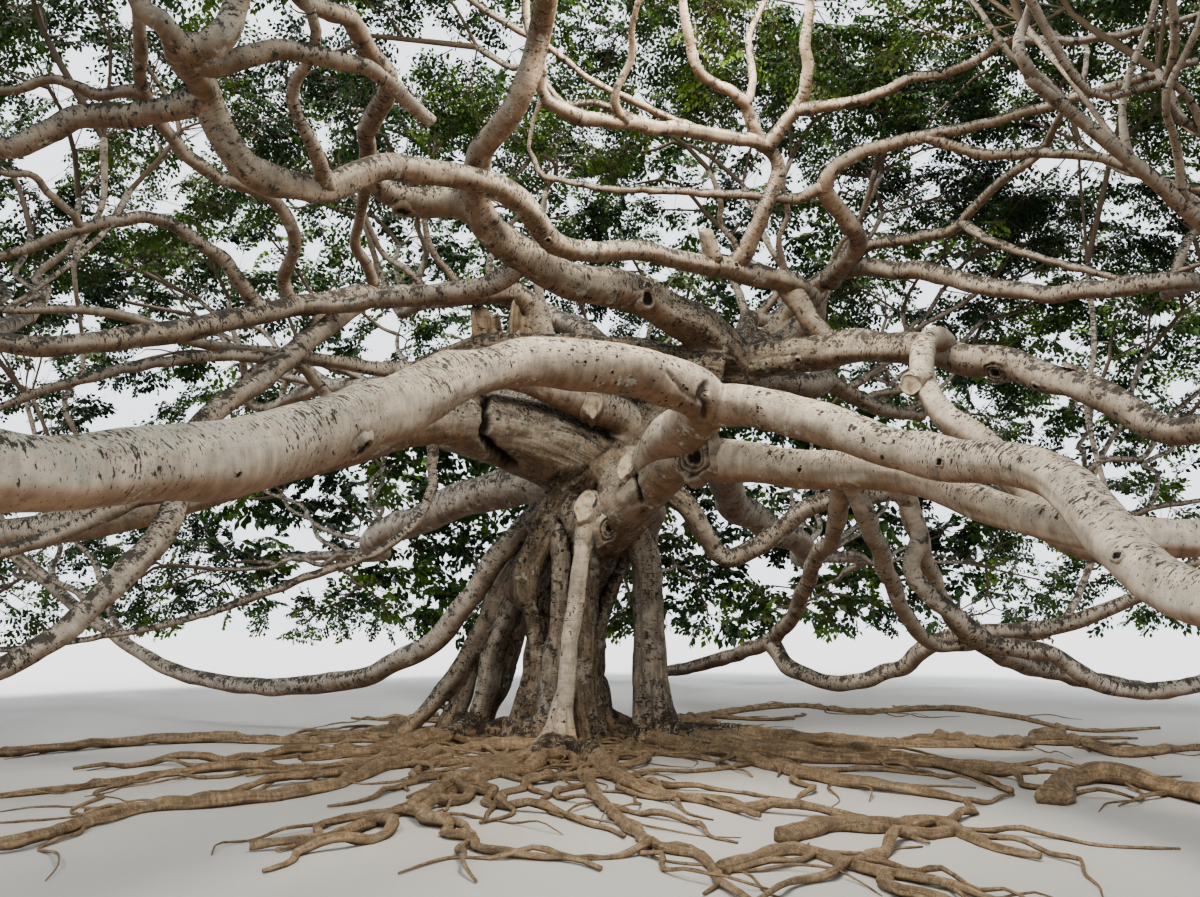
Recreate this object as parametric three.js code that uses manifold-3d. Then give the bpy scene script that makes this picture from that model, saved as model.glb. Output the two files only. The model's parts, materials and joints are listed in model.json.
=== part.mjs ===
// Old banyan tree: a cluster of a trunk and prop roots, winding boughs and a wide low crown.
// +Z is up, +Y points away from the side that the tree is seen from, and the origin is on the ground,
// in the trunk's flat cut.
// Sizes are in metres here, and each finished solid is turned to millimetres.
import * as THREE from "three";
import { mergeVertices } from "three/addons/utils/BufferGeometryUtils.js";
import Module from "manifold-3d";

const wasm = await Module();
wasm.setup();

const MILLIMETRES = 1000;
const WELD = 0.02; // millimetres, under which corners are one
const SEAT_GAP = 0.0003;

// Crown: an oblate dome on a waist, with a skirt that hangs below it
const CROWN_REACH = 18.3;
const CROWN_WAIST = 4.7;
const CROWN_RISE = 6.9;
const SKIRT_DROP = 3.0;
const SKIRT_TUCK = 0.1;
const FRONT_LIFT = 2.6; // the skirt is higher on the open side, towards -Y
const LOBE_CREASE = 0.9;
const LOBE_SPAN = 4.5;
const LOBE_SWELL = 0.55;
const LOBE_JITTER = { turn: 8, radius: 0.9, height: 0.6 };
const LOBE_SEED = 41;
const INNER_LIFT = 0.15; // the share of the lift that the lobes inside the outer ring get
const RINGS = [
  { name: "inner", count: 3, turn: 30, radius: 5.2, height: 9.5 },
  { name: "middle", count: 7, turn: -12.9, radius: 10.8, height: 8.1 },
  { name: "outer", count: 10, turn: 18, radius: 15.2, height: 5.2 },
];

// Foliage: each leaf stands for a spray
const LEAF_COUNT = 350;
const LEAF_LENGTH = 2.8;
const LEAF_WIDTH = 0.66; // of its length
const LEAF_THICKNESS = 0.035; // of its length
const LEAF_SINK = 0.08; // of a twig's length behind its end
const LEAF_STAGGER = 0.22; // between the roots of the leaves on a twig
const LEAF_FREE = 0.14; // the share of a blade, from its root, that may meet another
const LEAVES_ON_A_TWIG = 4;
const LEAF_CUP = 0.15; // how far a leaf's tip turns outwards
const LEAF_AIM = 1.7; // leaves lie square to lines from this height over the origin
const LEAF_FLOOR = 0.1; // the lowest that a leaf may reach
const TARGET_FLOOR = 0.9;
const TARGET_JITTER = 0.8;
const TARGET_SEED = 7;
const MASS_SEED = 300;
const CELL_MARGIN = 0.04;
const LIMB_MARGIN = 0.06;
const STEM_LENGTH = 1.1;
const TWIG_LEAST = 0.045;
const TWIG_ROOT = 0.5; // a side twig's radius, of the radius of the one that bears it
const FORK_REACH = 0.52;
const LAST_REACH = 0.76;
const TWIG_CROOK = 0.12;
const TWIG_TAPER = 0.8; // from each node to the next
const TWIG_SIDES = 3;

const LIMB_SIDES = 6;
const THIN_SIDES = 5;
const THIN_RADIUS = 0.3; // a limb that starts thinner has fewer sides
const LIMB_STEP = 1.8;
const SMOOTHING = 0.5; // tension of a limb's curve
const CURVE_PARTS = 200; // that a curve's length is measured in
const BALL_SPACING = 0.15;
const FLUTE_FADE = 0.6;
const FLUTE_TWIST = 2;

const BARK = { color: 0xb9a98c, roughness: 0.85, metalness: 0 };
const OLD_BARK = { color: 0x8d8271, roughness: 0.92, metalness: 0 };
const ROOT_BARK = { color: 0x9b8263, roughness: 0.9, metalness: 0 };
const LEAF_GREEN = { color: 0x4c6b33, roughness: 0.6, metalness: 0 };

const tree = new THREE.Group();
tree.name = "banyan_tree";

const at = (x, y, z) => new THREE.Vector3(x, y, z);
const mix = (a, b, share) => a.clone().lerp(b, share);
const clamp = THREE.MathUtils.clamp;
const radians = THREE.MathUtils.degToRad;

// Repeatable random numbers from 0 to 1
function dice(seed) {
  let state = seed;
  return () => {
    state = (state * 1103515245 + 12345) % 2147483648;
    return state / 2147483648;
  };
}

// A closed geometry becomes a solid, in millimetres
function solidOf(geometry) {
  geometry.deleteAttribute("normal");
  geometry.deleteAttribute("uv");
  geometry.scale(MILLIMETRES, MILLIMETRES, MILLIMETRES);
  const merged = mergeVertices(geometry, 1e-2);
  const mesh = new wasm.Mesh({
    numProp: 3,
    vertProperties: new Float32Array(merged.attributes.position.array),
    triVerts: new Uint32Array(merged.index.array),
  });
  return new wasm.Manifold(mesh);
}

// The largest body of a solid, so that a scrap left by a cut is dropped
function largestOf(solid) {
  const bodies = solid.decompose();
  return bodies.reduce((best, body) => (body.volume() > best.volume() ? body : best));
}

// Faces that close up when their corners are welded are dropped
function welded(geometry) {
  const merged = mergeVertices(geometry, WELD);
  const corners = merged.index.array;
  const kept = [];
  for (let k = 0; k < corners.length; k += 3) {
    const face = [corners[k], corners[k + 1], corners[k + 2]];
    if (new Set(face).size === face.length) {
      kept.push(...face);
    }
  }
  merged.setIndex(kept);
  return merged;
}

function addMesh(name, solid, look) {
  const mesh = solid.getMesh();
  const loose = new THREE.BufferGeometry();
  loose.setAttribute("position", new THREE.BufferAttribute(new Float32Array(mesh.vertProperties), 3));
  loose.setIndex(new THREE.BufferAttribute(new Uint32Array(mesh.triVerts), 1));
  const geometry = welded(loose);
  geometry.computeVertexNormals();
  const piece = new THREE.Mesh(geometry, new THREE.MeshStandardMaterial(look));
  piece.name = name;
  tree.add(piece);
}

// The value of a list at a share of its length, straight between its entries
function along(list, share) {
  const place = clamp(share, 0, 1) * (list.length - 1);
  const low = Math.min(Math.floor(place), list.length - 2);
  return list[low] + (list[low + 1] - list[low]) * (place - low);
}

// A closed cylinder bent through a list of rings
function bentSolid(rings, sides, radiusOf) {
  const geometry = new THREE.CylinderGeometry(1, 1, 1, sides, rings.length - 1);
  const position = geometry.attributes.position;
  for (let i = 0; i < position.count; i += 1) {
    const ring = rings[Math.round((position.getY(i) + 0.5) * (rings.length - 1))];
    const radius = radiusOf(Math.atan2(position.getX(i), position.getZ(i)), ring);
    const place = ring.place.clone();
    place.addScaledVector(ring.binormal, position.getX(i) * radius);
    place.addScaledVector(ring.normal, position.getZ(i) * radius);
    position.setXYZ(i, place.x, place.y, place.z);
  }
  return solidOf(geometry);
}

// A limb's curve with the ring of its section at each step
class Limb {
  constructor(points, radii, { sides = LIMB_SIDES, steps = 0, flutes = 0, fluteDepth = 0 } = {}) {
    this.curve = new THREE.CatmullRomCurve3(points.map((p) => at(...p)), false, "catmullrom", SMOOTHING);
    this.radii = radii;
    this.sides = sides;
    this.steps = steps || Math.max(3, Math.round(this.curve.getLength() / LIMB_STEP));
    this.flutes = flutes;
    this.fluteDepth = fluteDepth;
    this.frames = this.curve.computeFrenetFrames(this.steps, false);
    this.pointShares = this.#sharesOfPoints();
  }

  // Where along its length the curve passes each of its points
  #sharesOfPoints() {
    const lengths = this.curve.getLengths(CURVE_PARTS);
    const last = this.curve.points.length - 1;
    const lengthAt = (k) => lengths[Math.round((k / last) * CURVE_PARTS)];
    return this.curve.points.map((_, k) => lengthAt(k) / lengths[CURVE_PARTS]);
  }

  radiusAt(share) {
    const shares = this.pointShares;
    if (this.radii.length !== shares.length) {
      return along(this.radii, share);
    }
    let k = 0;
    while (k < shares.length - 2 && shares[k + 1] < share) {
      k += 1;
    }
    const part = clamp((share - shares[k]) / (shares[k + 1] - shares[k]), 0, 1);
    return this.radii[k] + (this.radii[k + 1] - this.radii[k]) * part;
  }

  // The limb between two steps, grown on all sides. A piece that goes on from another starts past its end
  solid(grow = 0, first = 0, last = this.steps) {
    const rings = [];
    for (let step = first; step <= last; step += 1) {
      const share = step / this.steps;
      const start = step === first ? (first > 0 ? SEAT_GAP : 0) - grow : 0;
      const shift = step === last ? grow : start;
      rings.push({
        place: this.curve.getPointAt(share).addScaledVector(this.frames.tangents[step], shift),
        normal: this.frames.normals[step],
        binormal: this.frames.binormals[step],
        radius: this.radiusAt(share),
        share,
      });
    }
    const flute = (angle, share) => {
      const wave = Math.cos(this.flutes * angle + share * FLUTE_TWIST);
      return 1 + this.fluteDepth * wave * (1 - FLUTE_FADE * share);
    };
    return bentSolid(rings, this.sides, (angle, ring) => ring.radius * flute(angle, ring.share) + grow);
  }

  get end() {
    const heading = this.frames.tangents[this.steps];
    return { place: this.curve.getPointAt(1), heading, radius: this.radiusAt(1) };
  }

  // Balls that stand for the limb when something keeps clear of it
  balls() {
    const count = Math.ceil(this.curve.getLength() / BALL_SPACING);
    return Array.from({ length: count + 1 }, (_, k) => ({
      place: this.curve.getPointAt(k / count),
      radius: this.radiusAt(k / count),
    }));
  }
}

const underground = solidOf(new THREE.BoxGeometry(60, 60, 4).translate(0, 0, -2));
const aboveGround = (solid) => solid.subtract(underground);

// Trunk: a fluted column, the leader that leans right to the upper head, a back stem and ribs of root flare
const TRUNK_FOOT = [-0.38, 0.12];
const RIB_REACH = 1.75;
const RIB_TURNS = [20, 100, 170, 235];
const trunkLimbs = [
  new Limb(
    [
      [-0.38, 0.12, -0.3], [-0.37, 0.1, 0.7], [-0.3, 0.05, 1.7], [-0.1, 0, 3], [0.3, 0, 4.3], [0.75, 0, 5.3],
    ],
    [1.15, 0.84, 0.66, 0.68, 0.84, 0.55],
    { sides: 12, steps: 8, flutes: 4, fluteDepth: 0.09 },
  ),
  new Limb(
    [[0.3, 0, 4.1], [0.95, -0.05, 5.5], [1.8, -0.15, 6.35], [2.8, -0.35, 6.55]],
    [0.82, 0.74, 0.6, 0.44],
    { sides: 8, steps: 6 },
  ),
  new Limb([[0.75, 0.85, -0.3], [0.62, 0.6, 1.9], [0.45, 0.2, 4]], [0.45, 0.27, 0.3], { steps: 5 }),
  ...RIB_TURNS.map((turn) => {
    const x = Math.cos(radians(turn));
    const y = Math.sin(radians(turn));
    const out = (reach, height) => [TRUNK_FOOT[0] + reach * x, TRUNK_FOOT[1] + reach * y, height];
    const route = [out(0.3, 1.5), out(0.8, 0.55), out(RIB_REACH, 0)];
    return new Limb(route, [0.3, 0.28, 0.1], { sides: THIN_SIDES, steps: 4 });
  }),
];

// Prop roots: from under the boughs down to the ground, with a spread foot
const props = {
  prop_root_left: new Limb(
    [[-2.05, 0.95, -0.2], [-1.85, 0.85, 0.5], [-1.3, 0.6, 2], [-0.85, 0.35, 3.3], [-0.3, 0.1, 4.1]],
    [0.48, 0.3, 0.24, 0.25, 0.28],
  ),
  prop_root_front: new Limb(
    [[-0.45, -1.55, -0.2], [-0.38, -1.45, 0.5], [-0.2, -1.25, 2], [0.02, -1.05, 3.2], [0.4, -0.9, 3.85]],
    [0.45, 0.22, 0.16, 0.2, 0.28],
  ),
  prop_root_right: new Limb(
    [[1.1, -0.35, -0.2], [1.05, -0.35, 0.5], [1, -0.4, 2], [0.95, -0.5, 3.2], [0.55, -0.5, 4.2]],
    [0.6, 0.42, 0.32, 0.3, 0.28],
  ),
};

// Surface roots: half sunk, from a foot outwards
const ROOT_SINK = 0.35; // of its radius
const surfaceRoots = {
  surface_root_front_left: {
    radii: [0.26, 0.05],
    route: [[-0.45, -1.6], [-0.7, -2.6], [-1.3, -4], [-1.9, -5.6]],
  },
  surface_root_front: {
    radii: [0.22, 0.05],
    route: [[-0.4, -1.6], [0.1, -2.7], [0.4, -4.2], [1, -5.6]],
  },
  surface_root_right: {
    radii: [0.3, 0.06],
    route: [[1.1, -0.4], [1.9, -1.4], [3, -2.2], [4.6, -2.9], [6, -3.7]],
  },
  surface_root_far_right: {
    radii: [0.26, 0.05],
    route: [[1.1, -0.3], [2.6, -0.2], [4.3, -0.6], [6.2, -0.9]],
  },
  surface_root_left: {
    radii: [0.28, 0.05],
    route: [[-2, 0.9], [-2.6, -0.5], [-3.2, -1.7], [-4.2, -2.3]],
  },
};

// The skirt's lift at a turn round the tree: none at the back, all of it at the front
const frontLift = (turn) => Math.max(0, -Math.sin(turn)) ** 2 * FRONT_LIFT;

// Lobes of the crown: where each foliage mass is gathered
const lobeDice = dice(LOBE_SEED);
const lobes = RINGS.flatMap((ring) =>
  Array.from({ length: ring.count }, (_, k) => {
    const turn = ring.turn + (360 / ring.count) * k + (lobeDice() - 0.5) * LOBE_JITTER.turn;
    const radius = ring.radius + (lobeDice() - 0.5) * LOBE_JITTER.radius;
    const lift = frontLift(radians(turn)) * (ring.name === "outer" ? 1 : INNER_LIFT);
    const height = ring.height + (lobeDice() - 0.5) * LOBE_JITTER.height + lift;
    return {
      name: `${ring.name}_${k + 1}`,
      centre: at(Math.cos(radians(turn)) * radius, Math.sin(radians(turn)) * radius, height),
      swell: (lobeDice() * 2 - 1) * LOBE_SWELL,
    };
  }),
);
const lobeNamed = (name) => lobes.find((lobe) => lobe.name === name);

// Where a bough hands over to the mass of its lobe: below and inside the lobe's centre
const SEAT_SHARE = 0.9;
const SEAT_DROP = 1.3;
const seatOf = ({ centre }) => [centre.x * SEAT_SHARE, centre.y * SEAT_SHARE, centre.z - SEAT_DROP];

// Boughs. Each has the names of its pieces and the shares of its length where they part, its points, its
// radii and the lobe that it carries, where it goes on to the lobe's seat. One with a rise sways on its way
const boughs = [
  {
    pieces: ["bough_front_stem", "bough_great_left_inner", "bough_great_left_outer"],
    splits: [0.2, 0.52],
    route: [
      [0.2, -0.1, 4.15], [0.86, -1.1, 4.35], [1.29, -2.6, 4.65], [1.6, -4.15, 4.95], [0.85, -4.95, 5.15],
      [-0.2, -5.7, 5.1], [-1.05, -6.6, 4.8], [-1.85, -8.5, 3.9], [-2.65, -10.5, 3.1], [-3.6, -12.6, 2.9],
      [-6, -13.7, 4],
    ],
    radii: [0.5, 0.41, 0.38, 0.34, 0.32, 0.32, 0.28, 0.29, 0.27, 0.21, 0.17, 0.12],
    lobe: "outer_7",
  },
  {
    pieces: ["bough_great_right_inner", "bough_great_right_outer"],
    splits: [0.45],
    route: [
      [1.6, -4, 4.93], [2.3, -4.6, 4.8], [3.25, -5.5, 4.25], [4.05, -6.6, 3.75], [4.55, -7.9, 3.4],
      [4.7, -9.9, 2.15], [6, -11.6, 2.4],
    ],
    radii: [0.3, 0.28, 0.27, 0.24, 0.22, 0.22, 0.17, 0.12],
    lobe: "outer_9",
  },
  {
    pieces: ["bough_knotted_inner", "bough_knotted_outer"],
    splits: [0.36],
    route: [
      [0.2, -0.2, 3.3], [0.45, -0.95, 3.65], [1.07, -1.9, 4.15], [1.58, -2.9, 4.38], [2.9, -4.2, 4],
      [4, -5.3, 3.8], [4.7, -6.6, 3.2], [5.6, -8.3, 2.75], [9, -8.2, 3],
    ],
    radii: [0.45, 0.47, 0.38, 0.34, 0.28, 0.23, 0.19, 0.18, 0.16, 0.12],
    lobe: "outer_10",
  },
  {
    pieces: ["bough_upper_left", "bough_front_high"],
    splits: [0.42],
    route: [
      [2.7, -0.35, 6.4], [1.9, -1.3, 6.85], [0.85, -2.2, 7.1], [-0.65, -3.5, 7.1], [-1.45, -4.5, 7.45],
      [-1.4, -5.3, 8], [-0.8, -5.8, 8.5], [-0.45, -6.5, 9.3], [0, -9.5, 9.3],
    ],
    radii: [0.4, 0.37, 0.3, 0.26, 0.21, 0.17, 0.15, 0.13, 0.12, 0.1],
    lobe: "outer_8",
  },
  {
    pieces: ["bough_winding_inner", "bough_winding_outer"],
    splits: [0.55],
    route: [
      [2.6, -0.1, 6.5], [3.9, 0.1, 7.2], [3.6, -1, 7.65], [1.05, -3, 7.5], [-0.35, -4.1, 7.25],
      [-0.95, -4.95, 7.6], [-2.25, -6.1, 7.45], [-2.95, -6.9, 6.8], [-3.5, -7.6, 6.7], [-3.8, -8.1, 7.3],
    ],
    radii: [0.28, 0.23, 0.19, 0.16, 0.15, 0.17, 0.16, 0.16, 0.16, 0.14, 0.11],
    lobe: "middle_6",
  },
  {
    pieces: ["bough_long_left"],
    route: [
      [0.3, 0.1, 4.9], [-0.6, -0.1, 6.6], [-1.2, -0.5, 7.6], [-2, -1.3, 7.5], [-4.1, -3.5, 6.55],
      [-5.45, -5.3, 5.55], [-6.9, -6.3, 5.2],
    ],
    radii: [0.36, 0.28, 0.23, 0.2, 0.16, 0.14, 0.12, 0.1],
    lobe: "middle_5",
  },
  {
    pieces: ["bough_massive_left"],
    route: [
      [0.2, 0, 4.5], [-0.8, -0.7, 4.95], [-1.8, -1.5, 5.1], [-2.6, -2.3, 5], [-4.3, -3.2, 4.3],
      [-7.7, -4.5, 3.1],
    ],
    radii: [0.72, 0.68, 0.56, 0.42, 0.28, 0.2, 0.13],
    lobe: "outer_6",
  },
  {
    pieces: ["bough_left_low"],
    route: [
      [-0.1, 0.1, 4.4], [-0.7, 0.15, 4], [-1.6, 0.2, 3.1], [-2.85, 0.6, 1.6], [-5.1, 1.3, 0.85],
      [-8.5, 2.6, 1.2],
    ],
    radii: [0.24, 0.22, 0.2, 0.18, 0.16, 0.13, 0.1],
    lobe: "outer_5",
  },
  {
    pieces: ["bough_left_hanging"],
    route: [
      [-3.5, -3, 6.75], [-4.3, -4.1, 5.4], [-5, -4.8, 4.4], [-5.2, -5.4, 2.9], [-6.3, -6.5, 1.5],
      [-8.6, -7.4, 1.3],
    ],
    radii: [0.13, 0.14, 0.14, 0.16, 0.12, 0.06],
  },
  {
    pieces: ["bough_right_upper"],
    route: [
      [2.5, -0.3, 6.4], [3.6, -1.2, 6.5], [5, -2.5, 6.15], [6.5, -4.1, 5.3], [7.4, -5.5, 4.3],
      [8, -7.3, 4.7],
    ],
    radii: [0.33, 0.3, 0.26, 0.22, 0.18, 0.15, 0.11],
    lobe: "middle_7",
  },
  {
    pieces: ["bough_right_high"],
    route: [
      [2.5, -0.1, 6.5], [3.3, 0.5, 7.2], [4.3, -0.4, 8.1], [5.3, -1.5, 7.8], [6.7, -3.3, 6.8],
      [8.05, -4.7, 6.5],
    ],
    radii: [0.24, 0.2, 0.17, 0.15, 0.13, 0.12, 0.1],
    lobe: "middle_1",
  },
  {
    pieces: ["bough_right_arch"],
    route: [
      [4.3, -0.4, 8.05], [4.5, -1.7, 8.25], [3.75, -2.5, 8.8], [4.4, -2.9, 9.25], [5.8, -3.8, 9.2],
      [8, -5.5, 9.2],
    ],
    radii: [0.16, 0.15, 0.13, 0.11, 0.08, 0.05],
  },
  {
    pieces: ["bough_upright"],
    route: [[2.35, -2, 7.6], [2.75, -2.6, 8.3], [2.75, -3.1, 9.2]],
    radii: [0.14, 0.12, 0.11, 0.1],
    lobe: "inner_3",
  },
  {
    pieces: ["bough_crown_left"],
    route: [[0.9, 0, 5.4], [0.2, 0.9, 7.1]],
    radii: [0.3, 0.2, 0.11],
    lobe: "inner_2",
    rise: 0.5,
  },
  {
    pieces: ["bough_crown_right"],
    route: [[2.4, -0.2, 6.3], [3, 0.9, 7.6]],
    radii: [0.25, 0.19, 0.11],
    lobe: "inner_1",
    rise: 0.3,
  },
  {
    pieces: ["bough_back_left"],
    route: [[0.6, 0.1, 5], [-0.9, 1.6, 6]],
    radii: [0.34, 0.26, 0.12],
    lobe: "middle_4",
    rise: 0.6,
  },
  {
    pieces: ["bough_back"],
    route: [[1.1, 0, 5.6], [1.2, 1.5, 6.5]],
    radii: [0.34, 0.26, 0.12],
    lobe: "middle_3",
    rise: 0.8,
  },
  {
    pieces: ["bough_back_right"],
    route: [[1.9, -0.1, 6.2], [3.2, 1.6, 6.6]],
    radii: [0.3, 0.24, 0.12],
    lobe: "middle_2",
    rise: 0.5,
  },
  {
    pieces: ["bough_far_left"],
    route: [[0.1, 0.1, 4.2], [-1.6, 1.7, 4.6]],
    radii: [0.4, 0.3, 0.13],
    lobe: "outer_4",
    rise: -0.3,
  },
  {
    pieces: ["bough_far"],
    route: [[0.45, 0.1, 4.2], [0.9, 1.9, 4.6]],
    radii: [0.4, 0.3, 0.13],
    lobe: "outer_3",
    rise: -0.5,
  },
  {
    pieces: ["bough_far_right"],
    route: [[0.9, 0, 4.9], [2.3, 1.5, 5]],
    radii: [0.38, 0.3, 0.13],
    lobe: "outer_2",
    rise: -0.4,
  },
  {
    pieces: ["bough_dipping"],
    route: [[0.9, 0, 4.6], [1.7, -0.1, 4], [2.3, 0.05, 3.1], [3, 0, 3.3], [4.3, -0.3, 4.1], [8, 1.6, 4.4]],
    radii: [0.22, 0.2, 0.16, 0.16, 0.15, 0.14, 0.11],
    lobe: "outer_1",
  },
  {
    pieces: ["bough_right_low"],
    route: [
      [3.9, -5.25, 3.8], [4.3, -4.7, 3], [5, -3.8, 2], [6.3, -2.7, 1.4], [7.8, -1.9, 1.1],
      [9.6, -1, 0.95], [13, 1.2, 1.9],
    ],
    radii: [0.12, 0.12, 0.12, 0.13, 0.12, 0.11, 0.05],
  },
  {
    pieces: ["bough_hanging"],
    route: [
      [3.35, -4.6, 3.95], [3.45, -3.7, 3.2], [3.3, -2.9, 2.8], [3.1, -1.5, 1.9], [2.3, 0.1, 1.35],
      [0.9, 2.6, 0.9],
    ],
    radii: [0.14, 0.12, 0.12, 0.12, 0.12, 0.08],
  },
];

// A back bough sways on from its last point to its seat
const SWAY = 0.9;
const SWAY_STOPS = [0.25, 0.5, 0.75];
const SWAY_UP = 0.6; // of what it sways sideways, in all
const SWAY_SEED = 900;
function routeOf(bough, index) {
  if (!bough.lobe) {
    return bough.route;
  }
  const seat = seatOf(lobeNamed(bough.lobe));
  if (bough.rise === undefined) {
    return [...bough.route, seat];
  }
  const roll = dice(SWAY_SEED + index);
  const start = at(...bough.route.at(-1));
  const finish = at(...seat);
  const side = finish.clone().sub(start).setZ(0).normalize().applyAxisAngle(at(0, 0, 1), Math.PI / 2);
  const stops = SWAY_STOPS.map((share) => {
    const place = mix(start, finish, share).addScaledVector(side, (roll() * 2 - 1) * SWAY);
    place.z += Math.sin(share * Math.PI) * bough.rise + (roll() - 0.5) * SWAY * SWAY_UP;
    return place.toArray();
  });
  return [...bough.route, ...stops, seat];
}

const sidesOf = (bough) => (bough.radii[0] < THIN_RADIUS ? THIN_SIDES : LIMB_SIDES);
const boughLimbs = boughs.map((bough, k) => {
  return new Limb(routeOf(bough, k), bough.radii, { sides: sidesOf(bough) });
});

const boxesMeet = (a, b) => [0, 1, 2].every((k) => a.min[k] < b.max[k] && b.min[k] < a.max[k]);

// Solids, each cut clear of those before it that it grows from
const standing = [];
function stand(name, solid, grown, look) {
  const box = grown.boundingBox();
  const near = standing.filter((other) => boxesMeet(box, other.box));
  const cut = near.reduce((rest, other) => rest.subtract(other.grown), solid);
  addMesh(name, largestOf(aboveGround(cut)), look);
  standing.push({ box, grown });
}

const unionOf = (limbs, grow) => wasm.Manifold.union(limbs.map((limb) => limb.solid(grow)));
stand("trunk", unionOf(trunkLimbs, 0), unionOf(trunkLimbs, SEAT_GAP), OLD_BARK);

boughs.forEach((bough, index) => {
  const limb = boughLimbs[index];
  const cuts = [0, ...(bough.splits ?? []).map((share) => Math.round(share * limb.steps)), limb.steps];
  const pieces = bough.pieces.map((name, k) => ({
    name,
    solid: limb.solid(0, cuts[k], cuts[k + 1]),
    grown: limb.solid(SEAT_GAP, cuts[k], cuts[k + 1]),
  }));
  const before = standing.length;
  for (const piece of pieces) {
    const held = standing.splice(before);
    stand(piece.name, piece.solid, piece.grown, BARK);
    standing.splice(before, 0, ...held);
  }
});

for (const [name, limb] of Object.entries(props)) {
  stand(name, limb.solid(), limb.solid(SEAT_GAP), OLD_BARK);
}

const rootLimbs = Object.entries(surfaceRoots).map(([name, root]) => {
  const last = root.route.length - 1;
  const points = root.route.map(([x, y], k) => [x, y, along(root.radii, k / last) * ROOT_SINK]);
  return [name, new Limb(points, root.radii, { sides: THIN_SIDES, steps: 6 })];
});
for (const [name, limb] of rootLimbs) {
  stand(name, limb.solid(), limb.solid(SEAT_GAP), ROOT_BARK);
}

// Foliage masses
const obstacles = [...trunkLimbs, ...boughLimbs].flatMap((limb) => limb.balls());

// A point of the crown's shell, at an angle down from its top
function domePoint(turn, tilt) {
  const waist = CROWN_WAIST + frontLift(turn);
  if (tilt <= Math.PI / 2) {
    const reach = CROWN_REACH * Math.sin(tilt);
    const height = waist + (CROWN_RISE + CROWN_WAIST - waist) * Math.cos(tilt);
    return at(Math.cos(turn) * reach, Math.sin(turn) * reach, height);
  }
  const drop = (tilt - Math.PI / 2) / (Math.PI / 2);
  const reach = CROWN_REACH * (1 - SKIRT_TUCK * drop);
  return at(Math.cos(turn) * reach, Math.sin(turn) * reach, waist - SKIRT_DROP * drop);
}

// Tilts that share the shell's area evenly
const TILT_STEPS = 120;
function evenTilts(count) {
  const tilts = Array.from({ length: TILT_STEPS + 1 }, (_, k) => (k / TILT_STEPS) * Math.PI);
  const area = [0];
  for (let k = 1; k <= TILT_STEPS; k += 1) {
    const a = domePoint(0, tilts[k - 1]);
    const b = domePoint(0, tilts[k]);
    area.push(area[k - 1] + ((a.x + b.x) / 2) * a.distanceTo(b));
  }
  let k = 0;
  return Array.from({ length: count }, (_, i) => {
    const wanted = (area[TILT_STEPS] * (i + 0.5)) / count;
    while (area[k + 1] < wanted) {
      k += 1;
    }
    return tilts[k] + ((wanted - area[k]) / (area[k + 1] - area[k])) * (tilts[k + 1] - tilts[k]);
  });
}

function nearestLobes(place) {
  const order = lobes.map((lobe) => ({ lobe, away: lobe.centre.distanceTo(place) }));
  return order.sort((a, b) => a.away - b.away);
}

// How far a place lies inside a lobe's own space
function roomIn(lobe, place) {
  const own = lobe.centre.distanceToSquared(place);
  return Math.min(
    ...lobes.filter((other) => other !== lobe).map((other) => {
      const gap = other.centre.distanceToSquared(place) - own;
      return gap / (2 * other.centre.distanceTo(lobe.centre));
    }),
  );
}

// Leaf places are spread evenly on the shell, sunk in the creases between lobes
const GOLDEN_TURN = Math.PI * (3 - Math.sqrt(5));
function spreadTargets(count, seed) {
  const roll = dice(seed);
  const targets = new Map(lobes.map((lobe) => [lobe, []]));
  evenTilts(count).forEach((tilt, k) => {
    const place = domePoint(k * GOLDEN_TURN, tilt);
    place.add(at(roll() - 0.5, roll() - 0.5, roll() - 0.5).multiplyScalar(TARGET_JITTER));
    const [first, second] = nearestLobes(place);
    const crease = 1 - clamp((second.away - first.away) / LOBE_SPAN, 0, 1);
    const inward = first.lobe.centre.clone().sub(place).normalize();
    place.addScaledVector(inward, crease * crease * LOBE_CREASE - first.lobe.swell);
    place.z = Math.max(place.z, TARGET_FLOOR);
    targets.get(first.lobe).push(place);
  });
  return targets;
}

const clearOfLimbs = (place, radius) =>
  obstacles.every((ball) => ball.place.distanceTo(place) > ball.radius + radius + LIMB_MARGIN);

const centreOf = (places) => places.reduce((sum, p) => sum.add(p), at(0, 0, 0)).divideScalar(places.length);

// Two halves of a group of places, cut across its widest side
function halves(places) {
  const box = new THREE.Box3().setFromPoints(places);
  const size = box.getSize(at(0, 0, 0));
  const axis = ["x", "y", "z"].reduce((best, name) => (size[name] > size[best] ? name : best));
  const sorted = [...places].sort((a, b) => a[axis] - b[axis]);
  const middle = Math.ceil(sorted.length / 2);
  return [sorted.slice(0, middle), sorted.slice(middle)];
}

// A three-sided twig through its nodes, with a radius at each
function twigSolid(nodes) {
  const headings = nodes.slice(1).map((node, k) => node.place.clone().sub(nodes[k].place).normalize());
  let normal = at(0, 0, 1);
  const rings = nodes.map((node, k) => {
    const before = headings[Math.max(0, k - 1)];
    const after = headings[Math.min(headings.length - 1, k)];
    const heading = before.clone().add(after).normalize();
    normal = normal.clone().addScaledVector(heading, -normal.dot(heading)).normalize();
    return { place: node.place, radius: node.radius, normal, binormal: heading.clone().cross(normal) };
  });
  return bentSolid(rings, TWIG_SIDES, (angle, ring) => ring.radius);
}

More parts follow.
